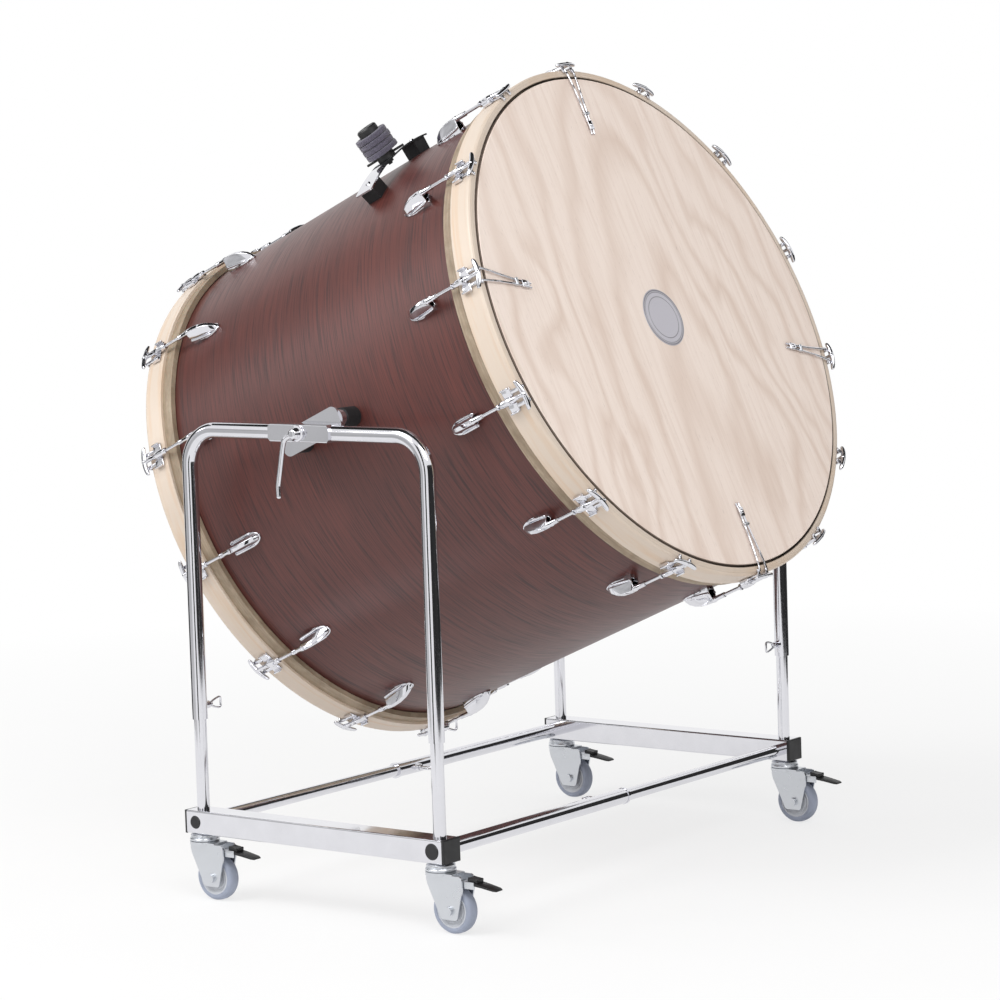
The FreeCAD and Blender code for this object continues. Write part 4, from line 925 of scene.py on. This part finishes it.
class BASSDRUM_OT_head(bpy.types.Operator):
    """Plywood disc over the front head"""
    bl_idname = "bassdrum.head"
    bl_label = "Wooden Head"

    def execute(self, context):
        edge = 1.2
        outline = [(HEAD_BACK, 0), (HEAD_BACK, HEAD_RIM), (HEAD_FACE - edge, HEAD_RIM),
                   (HEAD_FACE, HEAD_RIM - edge), (HEAD_FACE, 0)]
        made = shape(lathe("plywood_head", outline, "X", 180), DRUM @ MILLI)
        settle(made, "wooden_head", "birch_plywood", ("wooden_head",))
        return {"FINISHED"}


class BASSDRUM_OT_badge(bpy.types.Operator):
    """Blank round badge with plain rings in the middle of the wooden head"""
    bl_idname = "bassdrum.badge"
    bl_label = "Blank Badge"

    def execute(self, context):
        radius = context.scene.bass_drum.sizes.badge * 1000
        face = HEAD_FACE - 0.4
        rings = ((0, 0.4), (0.8, 0), (1.2, 0.5), (1.3, 3.0), (0.9, 3.5), (1.3, 4.0), (1.3, 6.2), (1.0, 6.6),
                 (1.3, 7.0), (1.3, 14.2), (1.0, 14.6), (1.4, 15.0))      # rise and distance from the rim
        outline = [(face, 0), *((face + rise, radius - inset) for rise, inset in rings), (face + 1.5, 0)]
        made = lathe("blank_badge", outline, "X", 96)
        settle(shape(made, DRUM @ MILLI), "wooden_head", "badge")
        return {"FINISHED"}


class BASSDRUM_OT_felts(bpy.types.Operator):
    """Thick cymbal felts with soft, slightly uneven rims"""
    bl_idname = "bassdrum.felts"
    bl_label = "Cymbal Felts"

    def execute(self, context):
        start, end, base = reach("cymbal_felts")[:3]
        turn = station(STRAP_STATION)
        nut_low = reach("cymbal_nut")[2]
        thick = (nut_low - 0.3 - base) / len(FELT_SHIFTS)
        felts = []
        for index, shift in enumerate(FELT_SHIFTS):
            low = base + index * thick
            rim = 31.0 - 0.5 * (index % 2)
            top = low + thick
            outline = [(low + 0.1, 4.3), (low + 0.05, rim - 1.4), (low + 0.5, rim - 0.3),
                       (low + thick * 0.3, rim), (low + thick * 0.7, rim), (top - 0.5, rim - 0.3),
                       (top - 0.05, rim - 1.4), (top - 0.1, 4.3), (low + 0.1, 4.3)]
            felt = lathe("felt", outline, "Y", 56)
            modify(felt, "SUBSURF", levels=1, render_levels=1)
            texture = bpy.data.textures.new("felt_fuzz", "CLOUDS")
            texture.noise_scale = 3.2
            texture.noise_depth = 3
            modify(felt, "DISPLACE", texture=texture, strength=1.0, mid_level=0.6)
            felts.append(shape(felt, Matrix.Translation(((start + end) / 2 + shift, 0, 0))))
        made = shape(joined(felts, "felt_washers"), DRUM @ MILLI @ turn)
        settle(made, "cymbal_felts", "grey_felt", ("cymbal_felts",), 180)
        return {"FINISHED"}


class BASSDRUM_OT_wing_screws(bpy.types.Operator):
    """Bent-wire wing screws on the legs and the cross tubes"""
    bl_idname = "bassdrum.wing_screws"
    bl_label = "Wing Screws"

    def execute(self, context):
        pattern = make_wing_screw(context.scene.bass_drum.sizes)
        places = {}
        for name in CORNERS:
            node_name = name + "_wing_screw"
            centre = middle(node_name)
            inward = -1 if centre.y > 0 else 1
            tube = Vector((centre.x, middle(name.split("_")[0] + "_yoke").y, centre.z))
            places[node_name] = Matrix.Translation(tube) @ Matrix.Rotation(inward * math.pi / 2, 4, "Z")
        for side in SIDES:
            node_name = side + "_cross_wing_screw"
            centre = middle(node_name)
            inward = math.pi if centre.x > 0 else 0
            place = Vector((self.tube_x(side), centre.y, centre.z))
            places[node_name] = Matrix.Translation(place) @ Matrix.Rotation(inward, 4, "Z") @ Matrix.Rotation(
                math.pi / 2, 4, "X")
        for node_name, place in places.items():
            made = twin(pattern, place @ MILLI, node_name.replace("wing_screw", "bent_wing_screw"))
            settle(made, node_name, "chrome", (node_name,), 50)
        drop(pattern)
        return {"FINISHED"}

    def tube_x(self, side):
        """Where the outer cross tube of one half lies."""
        low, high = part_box(side + "_inner_cross_tube")
        return -(low.x + high.x) / 2


class BASSDRUM_OT_levers(bpy.types.Operator):
    """Clamp levers on both pivots"""
    bl_idname = "bassdrum.levers"
    bl_label = "Clamp Levers"

    def execute(self, context):
        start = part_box("near_pivot_sleeve")[0].y * 1000 - 0.3
        pattern = make_lever(context.scene.bass_drum.sizes, start)
        turns = {"near": Matrix.Identity(4), "far": Matrix.Rotation(math.pi, 4, "Z")}
        for side, turn in turns.items():
            made = twin(pattern, turn @ Matrix.Translation(PIVOT) @ MILLI, side + "_bent_lever")
            settle(made, side + "_clamp_lever", "chrome", (side + "_clamp_lever",), 50)
        drop(pattern)
        return {"FINISHED"}


class BASSDRUM_OT_wheels(bpy.types.Operator):
    """Tyres, hubs and bearing races of the four casters"""
    bl_idname = "bassdrum.wheels"
    bl_label = "Caster Wheels"

    def execute(self, context):
        sizes = context.scene.bass_drum.sizes
        tyre, hub = make_tyre(sizes), make_hub(sizes)
        for name in CORNERS:
            place = Matrix.Translation(middle(name + "_caster_tyre")) @ MILLI
            for part, pattern, slot, angle in (("tyre", tyre, "grey_rubber", 60),
                                               ("hub", hub, "grey_nylon", 30)):
                carrier = name + "_caster_" + part
                settle(twin(pattern, place, name + "_" + part), carrier, slot, (carrier,), angle)
            low, high = (corner * 1000 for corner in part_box(name + "_caster_pedal"))
            half = (high.y - low.y) / 2 - PEDAL_PIN_END
            pin = Matrix.Translation(Vector((low.x, (low.y + high.y) / 2, high.z)) / 1000) @ MILLI
            tongue, cheeks = make_tongue(high.x - low.x, half), make_cheeks(half)
            settle(shape(tongue, pin), name + "_caster_pedal", "black_plastic", (name + "_caster_pedal",), 40)
            settle(shape(cheeks, pin), name + "_caster_pedal", "zinc", (), 40)
            tongue.name, cheeks.name = name + "_brake_tongue", name + "_brake_cheeks"
        drop(tyre)
        drop(hub)
        for side in SIDES:
            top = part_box(side + "_beam")[0].z * 1000
            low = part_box(side + "_left_caster_fork")[1].z * 1000 + 0.3
            low_corner, high_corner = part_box(side + "_caster_heads")
            y = (low_corner.y + high_corner.y) / 2
            places = [Matrix.Translation((x, y, 0)) @ MILLI for x in
                      (low_corner.x + RACE_RADIUS / 1000, high_corner.x - RACE_RADIUS / 1000)]
            made = repeated(make_race(low, top), places, side + "_bearing_races")
            settle(made, side + "_caster_heads", "zinc", (side + "_caster_heads",), 25)
        return {"FINISHED"}


class BASSDRUM_OT_stage(bpy.types.Operator):
    """Pale floor, soft lamps, white surroundings and the camera"""
    bl_idname = "bassdrum.stage"
    bl_label = "Stage"

    def execute(self, context):
        settings = context.scene.bass_drum.stage
        floor = fresh("studio_floor", "plane", size=FLOOR_WIDTH)
        floor.data.materials.append(floor_material())
        powers = (settings.key, settings.side, settings.fill)
        for (name, place, target, width), watts in zip(LAMPS, powers):
            lamp(name, place, target, width, watts)
        for name, azimuth, width, height, bright in REFLECTION_CARDS:
            reflection_card(name, upright(azimuth, width, height), bright)
        spread = Matrix.Diagonal((OVERHEAD_WIDTH, OVERHEAD_WIDTH, 1, 1))
        reflection_card("overhead_card", Matrix.Translation(OVERHEAD_PLACE) @ spread, CARD_DARK)
        white_surroundings(settings.ambient)
        aim_camera()
        context.scene.view_settings.view_transform = "Standard"
        return {"FINISHED"}


FLOOR_WIDTH = 60
LAMPS = (                   # name, place, target and width in metres
    ("key_lamp", (-1.6, -3.6, 4.4), (0, 0, 0.7), 3.0),
    ("side_lamp", (-4.0, -1.8, 1.8), (0, 0, 0.8), 1.8),
    ("fill_lamp", (2.8, -2.2, 3.4), (0.2, 0, 0.9), 2.0),
)
CARD_DARK = 0.03            # brightness of a dark card
REFLECTION_CARDS = (        # name, azimuth in degrees, width, height and brightness
    ("narrow_card", -80.0, 0.5, 2.0, CARD_DARK),
    ("wide_card", -3.0, 4.6, 1.3, CARD_DARK),
    ("side_card", -163.0, 1.2, 2.6, CARD_DARK),
    ("grey_card", -127.0, 1.7, 1.35, 0.62),
    ("far_card", 56.0, 2.6, 1.3, CARD_DARK),
)
CARD_DISTANCE = 2.2         # near enough that polished legs show the cards and not only the floor
OVERHEAD_PLACE = (0, 1.3, 3.2)
OVERHEAD_WIDTH = 5.0


def floor_material():
    """Near-white floor that shows as white but keeps the shadow."""
    material = bpy.data.materials.new("studio_floor_finish")
    material.use_nodes = True
    tree = material.node_tree
    tree.nodes.clear()
    path = node(tree, "LightPath")
    coords = node(tree, "TexCoord").outputs["Object"]
    mottle = noise(tree, coords, scale=3.0, detail=4.0)
    tone = ramp(tree, mottle, [(0.3, (0.90,) * 3), (0.7, (0.92,) * 3)])
    diffuse = node(tree, "BsdfDiffuse", {"Color": tone})
    glow = node(tree, "Emission", {"Color": (1, 1, 1, 1), "Strength": 1.0})
    seen = maths(tree, "MAXIMUM", path.outputs["Is Camera Ray"],
                 maths(tree, "MAXIMUM", path.outputs["Is Glossy Ray"], path.outputs["Is Transmission Ray"]))
    away = node(tree, "VectorMath", {0: coords}, operation="LENGTH").outputs["Value"]
    share = maths(tree, "MULTIPLY", seen, span(tree, away, 0.72, 1.0, 1.1, 3.4))
    mix = node(tree, "MixShader", {0: share, 1: diffuse.outputs[0], 2: glow.outputs[0]})
    tree.links.new(mix.outputs[0], node(tree, "OutputMaterial").inputs["Surface"])
    return material


def lamp(name, place, target, width, power):
    """Square soft lamp aimed at a point."""
    bpy.ops.object.light_add(type="AREA", location=place)
    made = bpy.context.object
    made.name = name
    made.data.shape = "SQUARE"
    made.data.size = width
    made.data.energy = power
    made.rotation_euler = (Vector(target) - Vector(place)).to_track_quat("-Z", "Y").to_euler()
    return made


def upright(azimuth, width, height):
    """Place of an upright card that faces the middle of the stage."""
    angle = math.radians(azimuth)
    place = Vector((math.cos(angle) * CARD_DISTANCE, math.sin(angle) * CARD_DISTANCE, height / 2))
    return (Matrix.Translation(place) @ Matrix.Rotation(angle + math.pi / 2, 4, "Z")
            @ Matrix.Rotation(math.pi / 2, 4, "X") @ Matrix.Diagonal((width, height, 1, 1)))


def reflection_card(name, place, bright):
    """Card that only shows as a line in polished metal."""
    card = shape(fresh(name, "plane", size=1), place)
    material = bpy.data.materials.new(name + "_finish")
    material.use_nodes = True
    tree = material.node_tree
    tree.nodes.clear()
    coords = node(tree, "TexCoord").outputs["Object"]
    tone = ramp(tree, noise(tree, coords, scale=1.5), [(0.3, [bright * 0.7] * 3), (0.7, [bright * 1.3] * 3)])
    glow = node(tree, "Emission", {"Color": tone, "Strength": 1.0})
    tree.links.new(glow.outputs[0], node(tree, "OutputMaterial").inputs["Surface"])
    card.data.materials.append(material)
    card.visible_camera = False
    card.visible_diffuse = False
    card.visible_shadow = False
    card.visible_transmission = False
    return card


def white_surroundings(ambient):
    """World that is white to the eye and in reflections, and gives an even light."""
    world = bpy.data.worlds.new("studio_world")
    bpy.context.scene.world = world
    world.use_nodes = True
    tree = world.node_tree
    tree.nodes.clear()
    path = node(tree, "LightPath")
    seen = maths(tree, "MAXIMUM", path.outputs["Is Camera Ray"],
                 maths(tree, "MAXIMUM", path.outputs["Is Glossy Ray"], path.outputs["Is Transmission Ray"]))
    dim = node(tree, "Background", {"Color": (1, 1, 1, 1), "Strength": ambient})
    white = node(tree, "Background", {"Color": (1, 1, 1, 1), "Strength": 1.0})
    mix = node(tree, "MixShader", {0: seen, 1: dim.outputs[0], 2: white.outputs[0]})
    tree.links.new(mix.outputs[0], node(tree, "OutputWorld").inputs["Surface"])


CAMERA_PLACE = Vector((3.6906, -4.8014, 1.2679))
CAMERA_YAW = math.radians(37.17)
CAMERA_PITCH = math.radians(-4.84)
CAMERA_ROLL = math.radians(-1.83)
CAMERA_LENS = 121.865
CAMERA_SHIFT = (-0.01761, -0.05836)


def aim_camera():
    """Camera beside the drum, a little above its axis."""
    bpy.ops.object.camera_add(location=CAMERA_PLACE)
    made = bpy.context.object
    made.name = "camera"
    level = math.cos(CAMERA_PITCH)
    forward = Vector((-math.sin(CAMERA_YAW) * level, math.cos(CAMERA_YAW) * level, math.sin(CAMERA_PITCH)))
    right = forward.cross(UNIT["Z"]).normalized()
    up = right.cross(forward)
    turned_right = math.cos(CAMERA_ROLL) * right + math.sin(CAMERA_ROLL) * up
    turned_up = math.cos(CAMERA_ROLL) * up - math.sin(CAMERA_ROLL) * right
    made.rotation_euler = Matrix((turned_right, turned_up, -forward)).transposed().to_euler()
    made.data.lens = CAMERA_LENS
    made.data.sensor_width = 36
    made.data.shift_x, made.data.shift_y = CAMERA_SHIFT
    made.data.clip_end = 100
    bpy.context.scene.camera = made


class BASSDRUM_PT_panel(bpy.types.Panel):
    """Sizes, colours and steps of the drum"""
    bl_label = "Bass Drum"
    bl_idname = "BASSDRUM_PT_panel"
    bl_space_type = "VIEW_3D"
    bl_region_type = "UI"
    bl_category = "Bass Drum"

    def draw(self, context):
        settings = context.scene.bass_drum
        for group in (settings.sizes, settings.colours, settings.stage):
            column = self.layout.column()
            for name in group.__annotations__:
                column.prop(group, name)
        for operator in OPERATORS:
            self.layout.operator(operator.bl_idname)


OPERATORS = (
    BASSDRUM_OT_finishes, BASSDRUM_OT_lugs, BASSDRUM_OT_rods, BASSDRUM_OT_claws, BASSDRUM_OT_clips,
    BASSDRUM_OT_head, BASSDRUM_OT_badge, BASSDRUM_OT_felts, BASSDRUM_OT_wing_screws, BASSDRUM_OT_levers,
    BASSDRUM_OT_wheels, BASSDRUM_OT_stage,
)
CLASSES = (BassDrumSizes, BassDrumColours, BassDrumStage, BassDrumSettings, *OPERATORS, BASSDRUM_PT_panel)


def register():
    """Add the classes and the settings."""
    for cls in CLASSES:
        bpy.utils.register_class(cls)
    bpy.types.Scene.bass_drum = bpy.props.PointerProperty(type=BassDrumSettings)


def unregister():
    """Remove the settings and the classes."""
    del bpy.types.Scene.bass_drum
    for cls in reversed(CLASSES):
        bpy.utils.unregister_class(cls)


def main():
    """Model everything in order."""
    register()
    for operator in OPERATORS:
        area, name = operator.bl_idname.split(".")
        getattr(getattr(bpy.ops, area), name)()


if __name__ == "__main__":
    main()
